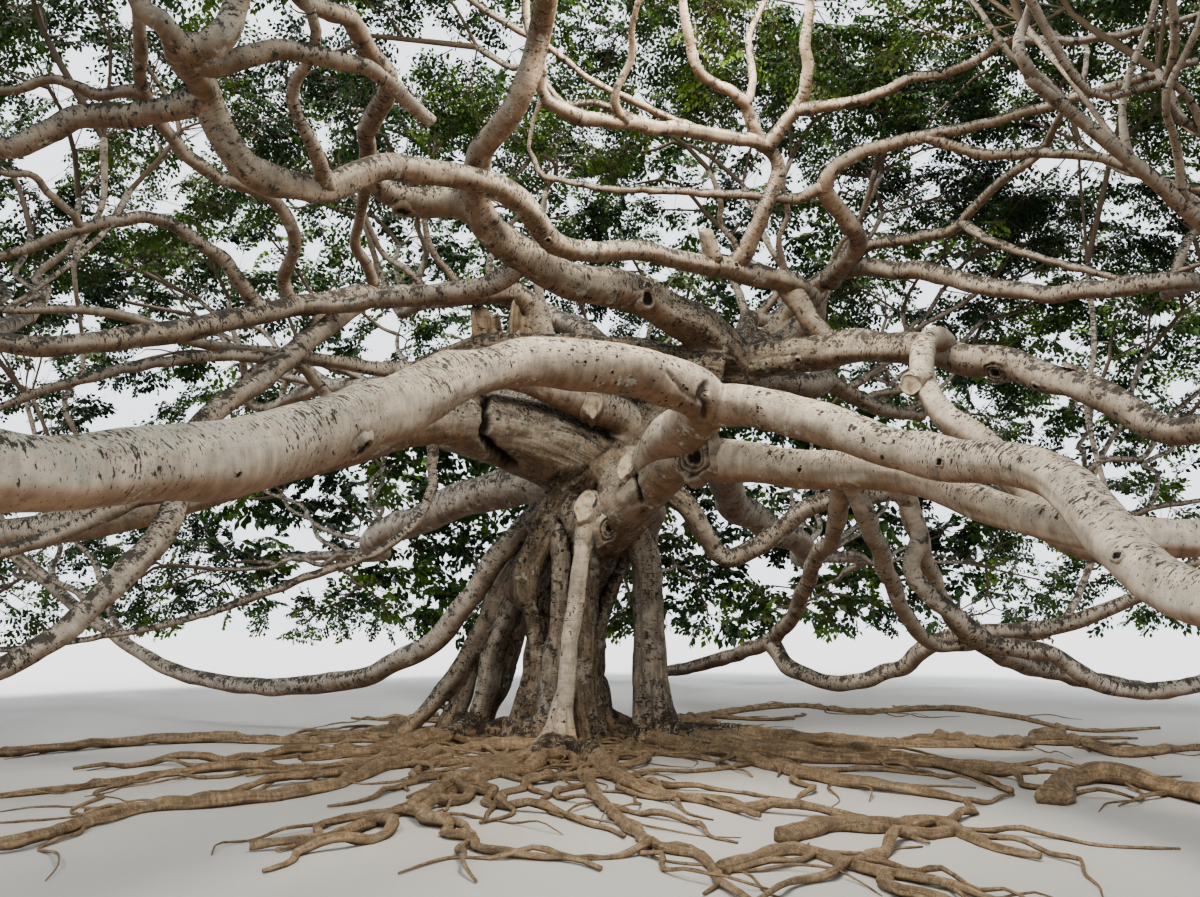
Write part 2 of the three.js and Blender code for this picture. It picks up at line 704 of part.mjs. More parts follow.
// A leaf blade of eight faces, flat along the shell
function leafSolid(root, heading, outward, length) {
  const side = outward.clone().cross(heading).normalize();
  const up = heading.clone().cross(side);
  const half = length / 2;
  const geometry = new THREE.OctahedronGeometry(1);
  geometry.scale(half, half * LEAF_WIDTH, half * LEAF_THICKNESS);
  geometry.applyMatrix4(new THREE.Matrix4().makeBasis(heading, side, up));
  const middle = root.clone().addScaledVector(heading, half);
  geometry.translate(middle.x, middle.y, middle.z);
  return solidOf(geometry);
}

// A leaf that has no room is turned aside, and then made smaller
const LEAF_SIZES = [1, 0.85, 0.7];
const LEAF_TURNS = [0, 28, -28, 56, -56, 84, -84];
const LEAF_TRIES = LEAF_SIZES.flatMap((size) => LEAF_TURNS.map((turn) => ({ size, turn: radians(turn) })));
function leafFits(lobe, root, heading, outward, length) {
  const side = outward.clone().cross(heading).normalize();
  const middle = root.clone().addScaledVector(heading, length / 2);
  const corners = [1, -1].map((way) => middle.clone().addScaledVector(side, (way * length * LEAF_WIDTH) / 2));
  const tip = root.clone().addScaledVector(heading, length);
  const edges = corners.flatMap((corner) => [mix(corner, tip, 0.5), mix(corner, root, 0.5)]);
  return [root, middle, tip, ...corners, ...edges].every((place) => {
    const inside = place.z > LEAF_FLOOR && roomIn(lobe, place) > CELL_MARGIN;
    return inside && clearOfLimbs(place, length * LEAF_THICKNESS);
  });
}

class Mass {
  constructor(lobe, seed) {
    this.lobe = lobe;
    this.roll = dice(seed);
    this.solids = [];
    this.blades = [];
  }

  hasRoom(from, to, radius) {
    const stops = [0.25, 0.5, 0.75, 1].map((share) => mix(from, to, share));
    return stops.every((p) => roomIn(this.lobe, p) > radius + CELL_MARGIN && clearOfLimbs(p, radius));
  }

  // A twig goes on through the larger half of its places, and a side twig takes the other half
  grow(nodes, places) {
    const node = nodes.at(-1);
    const last = places.length <= LEAVES_ON_A_TWIG;
    const [own, other] = last ? [places, []] : halves(places);
    const sideFoot = { place: node.place, radius: node.radius * TWIG_ROOT };
    const tip = this.nextNode(node, own, last);
    if (this.hasRoom(node.place, tip.place, tip.radius)) {
      nodes.push(tip);
      if (last) {
        this.finish(nodes, own);
      } else {
        this.grow(nodes, own);
      }
    } else if (nodes.length > 1) {
      this.finish(nodes, []);
    }
    if (other.length) {
      this.grow([sideFoot], other);
    }
  }

  nextNode(node, places, last) {
    const place = mix(node.place, centreOf(places), last ? LAST_REACH : FORK_REACH);
    const crook = at(this.roll() - 0.5, this.roll() - 0.5, this.roll() - 0.5);
    place.addScaledVector(crook, TWIG_CROOK * place.distanceTo(node.place));
    return { place, radius: Math.max(TWIG_LEAST, node.radius * TWIG_TAPER) };
  }

  finish(nodes, places) {
    this.solids.push(twigSolid(nodes));
    this.leafOut(nodes.at(-2).place, nodes.at(-1).place, places);
  }

  // Each place gets a leaf that spreads from near the twig's end
  leafOut(start, end, places) {
    places.forEach((place, k) => {
      const back = end.distanceTo(start) * LEAF_SINK + k * LEAF_STAGGER;
      const joint = end.clone().addScaledVector(start.clone().sub(end).normalize(), back);
      const outward = mix(place, joint, 0.5).sub(at(0, 0, LEAF_AIM)).normalize();
      const straight = place.clone().sub(joint).addScaledVector(outward, LEAF_CUP).normalize();
      for (const { size, turn } of LEAF_TRIES) {
        const heading = straight.clone().applyAxisAngle(outward, turn);
        const length = size * LEAF_LENGTH;
        const free = joint.clone().addScaledVector(heading, length * LEAF_FREE);
        const blade = leafSolid(free, heading, outward, length * (1 - LEAF_FREE));
        if (leafFits(this.lobe, joint, heading, outward, length) && this.clearOfBlades(blade)) {
          this.blades.push({ blade, box: blade.boundingBox() });
          this.solids.push(leafSolid(joint, heading, outward, length));
          break;
        }
      }
    });
  }

  clearOfBlades(blade) {
    const box = blade.boundingBox();
    const near = this.blades.filter((other) => boxesMeet(box, other.box));
    return near.every((other) => other.blade.intersect(blade).isEmpty());
  }
}

const targets = spreadTargets(LEAF_COUNT, TARGET_SEED);
boughs.forEach((bough, index) => {
  if (!bough.lobe) {
    return;
  }
  const lobe = lobeNamed(bough.lobe);
  const { place, heading, radius } = boughLimbs[index].end;
  const mass = new Mass(lobe, MASS_SEED + index);
  const foot = place.clone().addScaledVector(heading, SEAT_GAP);
  const fork = place.clone().addScaledVector(heading, STEM_LENGTH);
  const stem = [foot, fork].map((end) => ({ place: end, radius }));
  mass.grow(stem, targets.get(lobe));
  addMesh(`foliage_${lobe.name}`, largestOf(wasm.Manifold.union(mass.solids)), LEAF_GREEN);
});

export default tree;
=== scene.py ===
"""Looks of an old spreading banyan tree: fluted trunk, winding boughs, roots, twigs and leaves."""

from __future__ import annotations

import json
import logging
import math
from dataclasses import dataclass, field
from enum import Enum, IntEnum
from typing import NamedTuple

import bmesh
import bpy
import numpy as np
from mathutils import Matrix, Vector
from mathutils.bvhtree import BVHTree
from mathutils.kdtree import KDTree

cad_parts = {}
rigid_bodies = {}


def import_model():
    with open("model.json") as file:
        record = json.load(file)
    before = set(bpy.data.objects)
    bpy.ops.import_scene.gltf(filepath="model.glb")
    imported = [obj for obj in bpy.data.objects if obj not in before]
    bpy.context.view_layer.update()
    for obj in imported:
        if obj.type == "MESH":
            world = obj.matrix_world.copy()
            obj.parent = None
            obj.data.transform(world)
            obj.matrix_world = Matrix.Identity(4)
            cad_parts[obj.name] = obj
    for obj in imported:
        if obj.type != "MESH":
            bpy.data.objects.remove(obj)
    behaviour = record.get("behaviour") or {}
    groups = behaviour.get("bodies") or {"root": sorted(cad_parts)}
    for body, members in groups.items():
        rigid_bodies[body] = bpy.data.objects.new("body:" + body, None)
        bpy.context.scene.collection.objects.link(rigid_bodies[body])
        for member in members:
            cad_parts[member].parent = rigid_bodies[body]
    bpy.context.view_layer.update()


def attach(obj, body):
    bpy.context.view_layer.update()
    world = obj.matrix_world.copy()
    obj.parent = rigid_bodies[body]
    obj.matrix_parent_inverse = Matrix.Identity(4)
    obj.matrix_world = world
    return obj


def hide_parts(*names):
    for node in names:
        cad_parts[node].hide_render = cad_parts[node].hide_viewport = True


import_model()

LOG = logging.getLogger("banyan")
UP = np.array([0.0, 0.0, 1.0])
Place = tuple[float, float, float]
Place2 = tuple[float, float]
Pixels = tuple[tuple[int, int], ...]

# The frame's own row of random numbers
DICE_STEP, DICE_SHIFT, DICE_RANGE = 1103515245.0, 12345.0, 2147483648.0
# Odd numbers that mix a whole-number place into a repeatable one
MIX_X, MIX_Y, MIX_Z, MIX_SEED, MIX_LAST = 374761393, 668265263, 2246822519, 3266489917, 1274126177
WORD = 2**32


class Field(IntEnum):
    """Which field of noise shapes what."""

    LUMPS = 11
    RIDGES = 12
    WRINKLES = 13
    SCAR_OUTLINE = 14
    SWAY = 15
    SWAY_ASIDE = 16
    SCAR_GRAIN = 17
    CLUMPS = 21
    SMALL_CLUMPS = 22
    LEAF_TONES = 23
    FOLDS = 31
    KNOBS = 32
    TORN_EDGES = 33


class Seed(IntEnum):
    """Where each kind of limb starts its row of seeds."""

    COLUMN = 31
    LEADER = 32
    BACK_STEM = 33
    STRANDS = 40
    RIBS = 60
    PILLARS = 70
    ROOTS = 90
    FINE_ROOTS = 100
    COMPANIONS = 180
    TRACES = 200
    SEEN_STRANDS = 230
    OLD_RIDGE = 251
    PILLAR_HEAD = 252
    ROOT_TRACES = 260
    MASSES = 300
    SIDE_LIMBS = 400
    SCARS = 500


class Dice:
    """Repeatable random numbers from 0 to 1, by the rule that the frame's source uses."""

    def __init__(self, seed: int) -> None:
        """Starts the row of numbers at a seed."""
        self.state = float(seed)

    def __call__(self) -> float:
        """The next number."""
        self.state = math.fmod(self.state * DICE_STEP + DICE_SHIFT, DICE_RANGE)
        return self.state / DICE_RANGE


def unit(vectors: np.ndarray) -> np.ndarray:
    """Vectors at length one, along the last axis."""
    return vectors / np.maximum(np.linalg.norm(vectors, axis=-1, keepdims=True), 1e-9)


def smooth_step(share: np.ndarray) -> np.ndarray:
    """A soft rise from 0 to 1."""
    held = np.clip(share, 0.0, 1.0)
    return held * held * (3 - 2 * held)


def lattice(cells: np.ndarray, seed: int) -> np.ndarray:
    """Repeatable numbers from -1 to 1 at whole places.

    Args:
        cells: whole-number places, n by 3.
        seed: which field of numbers.

    Returns:
        One number for each place.
    """
    x, y, z = (cells[:, k].astype(np.uint32) for k in range(3))
    mixed = x * np.uint32(MIX_X) + y * np.uint32(MIX_Y) + z * np.uint32(MIX_Z)
    mixed = mixed + np.uint32(seed * MIX_SEED % WORD)
    mixed = (mixed ^ (mixed >> np.uint32(13))) * np.uint32(MIX_LAST)
    mixed = mixed ^ (mixed >> np.uint32(16))
    return mixed.astype(np.float64) / ((WORD - 1) / 2) - 1


def ripple(places: np.ndarray, seed: int) -> np.ndarray:
    """Smooth noise from -1 to 1 whose lumps are about one unit wide.

    Args:
        places: where it is read, n by 3.
        seed: which field of noise.

    Returns:
        One number for each place.
    """
    base = np.floor(places)
    part = places - base
    part = part * part * part * (part * (part * 6 - 15) + 10)
    cells = base.astype(np.int64)
    total = np.zeros(len(places))
    for corner in np.ndindex(2, 2, 2):
        step = np.array(corner)
        weight = np.prod(np.where(step == 1, part, 1 - part), axis=1)
        total += weight * lattice(cells + step, seed)
    return total


SMOOTHING = 0.5
CURVE_PARTS = 200


class Limb:
    """A limb's centreline with its radius, by the curve that the frame's solids follow."""

    def __init__(
        self, name: str, points: list[Place] | np.ndarray, radii: list[float], seed: int = 0
    ) -> None:
        """Measures the curve.

        Args:
            name: the limb's name.
            points: places that the curve passes, in metres.
            radii: radii at the points, or evenly spaced along the length when there are fewer.
            seed: sets the limb's own lumps.
        """
        self.name = name
        self.points = np.array(points, dtype=float)
        self.radii = np.array(radii, dtype=float)
        self.seed = seed
        self.pace = 1 / (2.4 * float(self.radii.mean()))
        self.grid = np.linspace(0, 1, CURVE_PARTS + 1)
        steps = np.linalg.norm(np.diff(self._spline(self.grid), axis=0), axis=1)
        self.lengths = np.concatenate([[0.0], np.cumsum(steps)])
        self.length = float(self.lengths[-1])

    def _spline(self, shares: np.ndarray) -> np.ndarray:
        """Places on the curve by its own parameter, which isn't even along its length."""
        p = self.points
        last = len(p) - 1
        padded = np.vstack([2 * p[0] - p[1], p, 2 * p[-1] - p[-2]])
        place = np.clip(shares, 0, 1) * last
        k = np.minimum(place.astype(int), last - 1)
        w = (place - k)[:, None]
        p0, p1, p2, p3 = padded[k], padded[k + 1], padded[k + 2], padded[k + 3]
        t0, t1 = SMOOTHING * (p2 - p0), SMOOTHING * (p3 - p1)
        return p1 + t0 * w + (-3 * p1 + 3 * p2 - 2 * t0 - t1) * w**2 + (2 * p1 - 2 * p2 + t0 + t1) * w**3

    def places(self, metres: np.ndarray) -> np.ndarray:
        """Places at distances along the limb."""
        return self._spline(np.interp(metres, self.lengths, self.grid))

    def radius(self, metres: np.ndarray) -> np.ndarray:
        """Radii at distances along the limb."""
        if len(self.radii) != len(self.points):
            return np.interp(np.asarray(metres) / self.length, np.linspace(0, 1, len(self.radii)), self.radii)
        last = len(self.points) - 1
        stops = [self.lengths[round(k / last * CURVE_PARTS)] for k in range(last + 1)]
        return np.interp(metres, stops, self.radii)

    def frames(self, metres: np.ndarray) -> tuple[np.ndarray, np.ndarray, np.ndarray]:
        """Heading, normal and binormal at distances along the limb, with no twist between them.

        Args:
            metres: rising distances along the limb.

        Returns:
            Three arrays of unit vectors.
        """
        reach = 0.02
        ahead = self.places(np.minimum(metres + reach, self.length))
        headings = unit(ahead - self.places(np.maximum(metres - reach, 0)))
        start = UP - headings[0] * headings[0][2]
        if np.linalg.norm(start) < 0.2:
            start = np.array([0.0, -1.0, 0.0])
        normals = [start]
        for heading in headings:
            held = normals[-1] - heading * float(normals[-1] @ heading)
            normals.append(held / np.linalg.norm(held))
        carried = np.array(normals[1:])
        return headings, carried, np.cross(headings, carried)


class Relief(NamedTuple):
    """How far a limb's surface departs from a round tube, as shares of its radius."""

    lumps: float = 0.15
    ridges: float = 0.06
    wrinkles: float = 0.014


@dataclass(frozen=True)
class Stretch:
    """A part of a limb that is made as one tube.

    A tube that enters a fused body starts thinner inside it, and one that leaves a fused body ends thinner
    inside the tube that goes on, so that each meets the other without a step.
    """

    limb: Limb
    first: float
    last: float
    enters: bool = False
    leaves: bool = False
    collar: float = 0.0
    relief: Relief = Relief()


def whole(limb: Limb, relief: Relief = Relief(), collar: float = 0.0) -> Stretch:
    """The whole of a limb as one tube."""
    return Stretch(limb, 0.0, limb.length, collar=collar, relief=relief)


HANDOVER = 0.5
THINNER = 0.14
COLLAR_LENGTH = 0.35
SWAY_PACE = 0.8
SWAY_SHARE = 0.24
STEADY_SWAY_SHARE = 0.09
# How crowded the dark lichen is on the limbs that have less of it than the others; the same number sets how
# much painted shade darkens their bark
SPARSE_LICHEN = {
    "great_left": 0.0, "great_right": 0.0, "knotted": 0.0, "climber": 0.1,
    "massive_left": 0.5, "brown_left": 0.5, "front_pillar": 0.0, "pillar_head": 0.3,
}
# Metres by which a limb's seed shifts its bark marks, so that no two limbs have the same
SEED_SHIFT = 7.0


class Net(NamedTuple):
    """How fine a tube is: faces round it, and metres between its rings."""

    sides: int
    spacing: float


def tube_mesh(name: str, stretch: Stretch, sides: int, spacing: float) -> bpy.types.Mesh:
    """A closed tube bent along a stretch of a limb, with its lumps, ridges and wrinkles.

    Args:
        name: the mesh's name.
        stretch: what is made.
        sides: faces round the tube.
        spacing: metres between its rings.

    Returns:
        A mesh with the attribute limb_space: metres along, and the place across, on the limb laid straight.
    """
    limb = stretch.limb
    span = stretch.last - stretch.first
    rings = max(4, math.ceil(span / spacing))
    shape = bmesh.new()
    bmesh.ops.create_cone(shape, cap_ends=True, segments=sides, radius1=1.0, radius2=1.0, depth=1.0)
    lengthwise = [edge for edge in shape.edges if abs(edge.verts[0].co.z - edge.verts[1].co.z) > 0.5]
    bmesh.ops.subdivide_edges(shape, edges=lengthwise, cuts=rings - 1, use_grid_fill=True)
    mesh = bpy.data.meshes.new(name)
    shape.to_mesh(mesh)
    shape.free()
    straight = coordinates(mesh)
    ring = np.rint((straight[:, 2] + 0.5) * rings).astype(int)
    angle = np.arctan2(straight[:, 1], straight[:, 0])
    metres = stretch.first + span * np.arange(rings + 1) / rings
    places = limb.places(metres)
    _, normals, binormals = limb.frames(metres)
    radii = limb.radius(metres)
    if stretch.enters:
        radii = radii * (1 - THINNER * (1 - smooth_step((metres - stretch.first) / HANDOVER)))
    if stretch.leaves:
        radii = radii * (1 - THINNER * (1 - smooth_step((stretch.last - metres) / HANDOVER)))
    if stretch.collar:
        radii = radii * (1 + stretch.collar * np.exp(-(metres - stretch.first) / COLLAR_LENGTH))
    sway = STEADY_SWAY_SHARE if limb.name in SPARSE_LICHEN else SWAY_SHARE
    blank = np.zeros(len(metres))
    beat = np.column_stack([metres * limb.pace * SWAY_PACE, blank + limb.seed * 1.7, blank])
    for seed, axis in ((Field.SWAY, normals), (Field.SWAY_ASIDE, binormals)):
        places = places + axis * (ripple(beat, seed) * radii * sway)[:, None]
    along, radius = metres[ring], radii[ring]
    across = np.stack([np.cos(angle), np.sin(angle)], axis=1)
    swollen = radius * (1 + relief_at(limb, along, across, radius, stretch.relief))
    bent = places[ring] + normals[ring] * (across[:, :1] * swollen[:, None])
    bent = bent + binormals[ring] * (across[:, 1:] * swollen[:, None])
    mesh.vertices.foreach_set("co", bent.ravel())
    laid = np.column_stack([along + limb.seed * SEED_SHIFT, across * radius[:, None]])
    add_limb_space(mesh, laid)
    add_values(mesh, "crowd", np.full(len(laid), lichen_and_shade_on(limb)))
    mesh.update()
    return mesh


def lichen_and_shade_on(limb: Limb) -> float:
    """How crowded the dark lichen is on a limb, and so how much painted shade darkens its bark."""
    return SPARSE_LICHEN.get(limb.name, 1.0)


def add_values(mesh: bpy.types.Mesh, name: str, values: np.ndarray) -> None:
    """Gives each vertex of a mesh a number under a name."""
    mesh.attributes.new(name, "FLOAT", "POINT").data.foreach_set("value", values.astype(np.float32))


def add_limb_space(mesh: bpy.types.Mesh, laid: np.ndarray) -> None:
    """Gives each vertex of a mesh its place on a limb laid straight."""
    spaces = mesh.attributes.new("limb_space", "FLOAT_VECTOR", "POINT")
    spaces.data.foreach_set("vector", laid.astype(np.float32).ravel())


def relief_at(limb: Limb, along: np.ndarray, across: np.ndarray, radius: np.ndarray,
              relief: Relief) -> np.ndarray:
    """The share of the radius by which a limb swells at places on its surface.

    Args:
        limb: whose seed sets the lumps.
        along: metres along it.
        across: cosine and sine round it.
        radius: its radius there.
        relief: how strong each kind is.

    Returns:
        One share for each place.
    """
    girth = across * radius[:, None]
    lumps = ripple(np.column_stack([along * limb.pace + limb.seed * 13.7, across * 0.9]), Field.LUMPS)
    ridges = ripple(np.column_stack([along * 0.35, across * 2.1 + limb.seed]), Field.RIDGES)
    wrinkles = ripple(np.column_stack([along * 8.0, girth * 3.0 + limb.seed]), Field.WRINKLES)
    return relief.lumps * lumps + relief.ridges * ridges + relief.wrinkles * wrinkles


# Crown: the same driving sizes as the frame's source
class Ring(NamedTuple):
    """A ring of lobes round the trunk."""

    name: str
    count: int
    turn: float
    radius: float
    height: float


RINGS = (
    Ring("inner", 3, 30.0, 5.2, 9.5),
    Ring("middle", 7, -12.9, 10.8, 8.1),
    Ring("outer", 10, 18.0, 15.2, 5.2),
)
CROWN_HEART = np.array([0.0, 0.0, 1.0])
CROWN_REACH = 18.3
CROWN_WAIST = 4.7
CROWN_RISE = 6.9
SKIRT_DROP = 3.0
SKIRT_TUCK = 0.1
FRONT_LIFT = 2.6
INNER_LIFT = 0.15
LOBE_CREASE = 0.9
LOBE_SPAN = 4.5
LOBE_SWELL = 0.55
TURN_JITTER, RADIUS_JITTER, HEIGHT_JITTER = 8.0, 0.9, 0.6
LOBE_SEED = 41
SEAT_SHARE, SEAT_DROP = 0.9, 1.3


class Lobe(NamedTuple):
    """Where one foliage mass is gathered."""

    name: str
    centre: np.ndarray
    swell: float

    @property
    def node(self) -> str:
        """The frame's node that it dresses."""
        return f"foliage_{self.name}"

    @property
    def seat(self) -> np.ndarray:
        """Where its bough hands over."""
        return self.centre * [SEAT_SHARE, SEAT_SHARE, 1.0] - [0.0, 0.0, SEAT_DROP]


def front_lift(turn: np.ndarray | float) -> np.ndarray | float:
    """How much higher the skirt hangs at a turn round the tree."""
    return np.maximum(0.0, -np.sin(turn)) ** 2 * FRONT_LIFT


def make_lobes() -> dict[str, Lobe]:
    """The lobes of the crown, by the frame's seeded rule."""
    roll = Dice(LOBE_SEED)
    lobes = {}
    for ring in RINGS:
        for k in range(ring.count):
            turn = math.radians(ring.turn + 360 / ring.count * k + (roll() - 0.5) * TURN_JITTER)
            radius = ring.radius + (roll() - 0.5) * RADIUS_JITTER
            lift = float(front_lift(turn)) * (1.0 if ring.name == "outer" else INNER_LIFT)
            height = ring.height + (roll() - 0.5) * HEIGHT_JITTER + lift
            centre = np.array([math.cos(turn) * radius, math.sin(turn) * radius, height])
            name = f"{ring.name}_{k + 1}"
            lobes[name] = Lobe(name, centre, (roll() * 2 - 1) * LOBE_SWELL)
    return lobes


LOBES = make_lobes()


@dataclass(frozen=True)
class Bough:
    """A bough of the frame and how it is dressed.

    fused is how many metres of it belong to the trunk's fused body, or 0 where it starts on another limb.
    """

    name: str
    nodes: tuple[str, ...]
    route: tuple[Place, ...]
    radii: tuple[float, ...]
    lobe: str | None = None
    rise: float | None = None
    fused: float = 2.6
    near: bool = False


BOUGHS = (
    Bough(
        "great_left",
        ("bough_front_stem", "bough_great_left_inner", "bough_great_left_outer"),
        (
            (0.2, -0.1, 4.15), (0.86, -1.1, 4.35), (1.29, -2.6, 4.65), (1.6, -4.15, 4.95),
            (0.85, -4.95, 5.15), (-0.2, -5.7, 5.1), (-1.05, -6.6, 4.8), (-1.85, -8.5, 3.9),
            (-2.65, -10.5, 3.1), (-3.6, -12.6, 2.9), (-6, -13.7, 4),
        ),
        (0.5, 0.41, 0.38, 0.34, 0.32, 0.32, 0.28, 0.29, 0.27, 0.21, 0.17, 0.12),
        "outer_7",
        fused=2.2,
        near=True,
    ),
    Bough(
        "great_right",
        ("bough_great_right_inner", "bough_great_right_outer"),
        (
            (1.6, -4, 4.93), (2.3, -4.6, 4.8), (3.25, -5.5, 4.25), (4.05, -6.6, 3.75), (4.55, -7.9, 3.4),
            (4.7, -9.9, 2.15), (6, -11.6, 2.4),
        ),
        (0.3, 0.28, 0.27, 0.24, 0.22, 0.22, 0.17, 0.12),
        "outer_9",
        fused=0,
        near=True,
    ),
    Bough(
        "knotted",
        ("bough_knotted_inner", "bough_knotted_outer"),
        (
            (0.2, -0.2, 3.3), (0.45, -0.95, 3.65), (1.07, -1.9, 4.15), (1.58, -2.9, 4.38), (2.9, -4.2, 4),
            (4, -5.3, 3.8), (4.7, -6.6, 3.2), (5.6, -8.3, 2.75), (9, -8.2, 3),
        ),
        (0.45, 0.47, 0.38, 0.34, 0.28, 0.23, 0.19, 0.18, 0.16, 0.12),
        "outer_10",
        fused=3.2,
        near=True,
    ),
    Bough(
        "upper_left",
        ("bough_upper_left", "bough_front_high"),
        (
            (2.7, -0.35, 6.4), (1.9, -1.3, 6.85), (0.85, -2.2, 7.1), (-0.65, -3.5, 7.1),
            (-1.45, -4.5, 7.45), (-1.4, -5.3, 8), (-0.8, -5.8, 8.5), (-0.45, -6.5, 9.3), (0, -9.5, 9.3),
        ),
        (0.4, 0.37, 0.3, 0.26, 0.21, 0.17, 0.15, 0.13, 0.12, 0.1),
        "outer_8",
        fused=2.4,
        near=True,
    ),
    Bough(
        "winding",
        ("bough_winding_inner", "bough_winding_outer"),
        (
            (2.6, -0.1, 6.5), (3.9, 0.1, 7.2), (3.6, -1, 7.65), (1.05, -3, 7.5), (-0.35, -4.1, 7.25),
            (-0.95, -4.95, 7.6), (-2.25, -6.1, 7.45), (-2.95, -6.9, 6.8), (-3.5, -7.6, 6.7),
            (-3.8, -8.1, 7.3),
        ),
        (0.28, 0.23, 0.19, 0.16, 0.15, 0.17, 0.16, 0.16, 0.16, 0.14, 0.11),
        "middle_6",
        fused=1.4,
        near=True,
    ),
    Bough(
        "long_left",
        ("bough_long_left",),
        (
            (0.3, 0.1, 4.9), (-0.6, -0.1, 6.6), (-1.2, -0.5, 7.6), (-2, -1.3, 7.5), (-4.1, -3.5, 6.55),
            (-5.45, -5.3, 5.55), (-6.9, -6.3, 5.2),
        ),
        (0.36, 0.28, 0.23, 0.2, 0.16, 0.14, 0.12, 0.1),
        "middle_5",
        fused=2.6,
    ),
    Bough(
        "massive_left",
        ("bough_massive_left",),
        (
            (0.2, 0, 4.5), (-0.8, -0.7, 4.95), (-1.8, -1.5, 5.1), (-2.6, -2.3, 5), (-4.3, -3.2, 4.3),
            (-7.7, -4.5, 3.1),
        ),
        (0.72, 0.68, 0.56, 0.42, 0.28, 0.2, 0.13),
        "outer_6",
        fused=4.2,
    ),
    Bough(
        "left_low",
        ("bough_left_low",),
        (
            (-0.1, 0.1, 4.4), (-0.7, 0.15, 4), (-1.6, 0.2, 3.1), (-2.85, 0.6, 1.6), (-5.1, 1.3, 0.85),
            (-8.5, 2.6, 1.2),
        ),
        (0.24, 0.22, 0.2, 0.18, 0.16, 0.13, 0.1),
        "outer_5",
        fused=2.2,
    ),
    Bough(
        "left_hanging",
        ("bough_left_hanging",),
        (
            (-3.5, -3, 6.75), (-4.3, -4.1, 5.4), (-5, -4.8, 4.4), (-5.2, -5.4, 2.9), (-6.3, -6.5, 1.5),
            (-8.6, -7.4, 1.3),
        ),
        (0.13, 0.14, 0.14, 0.16, 0.12, 0.06),
        fused=0,
    ),
    Bough(
        "right_upper",
        ("bough_right_upper",),
        (
            (2.5, -0.3, 6.4), (3.6, -1.2, 6.5), (5, -2.5, 6.15), (6.5, -4.1, 5.3), (7.4, -5.5, 4.3),
            (8, -7.3, 4.7),
        ),
        (0.33, 0.3, 0.26, 0.22, 0.17, 0.1, 0.055),
        "middle_7",
        fused=2.0,
    ),
    Bough(
        "right_high",
        ("bough_right_high",),
        (
            (2.5, -0.1, 6.5), (3.3, 0.5, 7.2), (4.3, -0.4, 8.1), (5.3, -1.5, 7.8), (6.7, -3.3, 6.8),
            (8.05, -4.7, 6.5),
        ),
        (0.24, 0.2, 0.17, 0.15, 0.13, 0.12, 0.1),
        "middle_1",
        fused=1.6,
    ),
    Bough(
        "right_arch",
        ("bough_right_arch",),
        ((4.3, -0.4, 8.05), (4.5, -1.7, 8.25), (3.75, -2.5, 8.8), (4.4, -2.9, 9.25), (5.8, -3.8, 9.2),
         (8, -5.5, 9.2)),
        (0.16, 0.15, 0.13, 0.11, 0.08, 0.05),
        fused=0,
    ),
    Bough(
        "upright",
        ("bough_upright",),
        ((2.35, -2, 7.6), (2.75, -2.6, 8.3), (2.75, -3.1, 9.2)),
        (0.14, 0.12, 0.11, 0.1),
        "inner_3",
        fused=0,
    ),
    Bough("crown_left", ("bough_crown_left",), ((0.9, 0, 5.4), (0.2, 0.9, 7.1)), (0.3, 0.2, 0.11), "inner_2",
          0.5),
    Bough("crown_right", ("bough_crown_right",), ((2.4, -0.2, 6.3), (3, 0.9, 7.6)), (0.25, 0.19, 0.11),
          "inner_1", 0.3),
    Bough("back_left", ("bough_back_left",), ((0.6, 0.1, 5), (-0.9, 1.6, 6)), (0.34, 0.26, 0.12), "middle_4",
          0.6),
    Bough("back", ("bough_back",), ((1.1, 0, 5.6), (1.2, 1.5, 6.5)), (0.34, 0.26, 0.12), "middle_3", 0.8),
    Bough("back_right", ("bough_back_right",), ((1.9, -0.1, 6.2), (3.2, 1.6, 6.6)), (0.3, 0.24, 0.12),
          "middle_2", 0.5),
    Bough("far_left", ("bough_far_left",), ((0.1, 0.1, 4.2), (-1.6, 1.7, 4.6)), (0.4, 0.3, 0.13), "outer_4",
          -0.3),
    Bough("far", ("bough_far",), ((0.45, 0.1, 4.2), (0.9, 1.9, 4.6)), (0.4, 0.3, 0.13), "outer_3", -0.5),
    Bough("far_right", ("bough_far_right",), ((0.9, 0, 4.9), (2.3, 1.5, 5)), (0.38, 0.3, 0.13), "outer_2",
          -0.4),
    Bough(
        "dipping",
        ("bough_dipping",),
        ((0.9, 0, 4.6), (1.7, -0.1, 4), (2.3, 0.05, 3.1), (3, 0, 3.3), (4.3, -0.3, 4.1), (8, 1.6, 4.4)),
        (0.22, 0.2, 0.16, 0.16, 0.15, 0.14, 0.11),
        "outer_1",
        fused=1.8,
    ),
    Bough(
        "right_low",
        ("bough_right_low",),
        (
            (3.9, -5.25, 3.8), (4.3, -4.7, 3), (5, -3.8, 2), (6.3, -2.7, 1.4), (7.8, -1.9, 1.1),
            (9.6, -1, 0.95), (13, 1.2, 1.9),
        ),
        (0.12, 0.12, 0.12, 0.13, 0.12, 0.11, 0.05),
        fused=0,
    ),
    Bough(
        "hanging",
        ("bough_hanging",),
        (
            (3.35, -4.6, 3.95), (3.45, -3.7, 3.2), (3.3, -2.9, 2.8), (3.1, -1.5, 1.9), (2.3, 0.1, 1.35),
            (0.9, 2.6, 0.9),
        ),
        (0.14, 0.12, 0.12, 0.12, 0.12, 0.08),
        fused=0,
    ),
)
SWAY = 0.9
SWAY_UP = 0.6
SWAY_SEED = 900


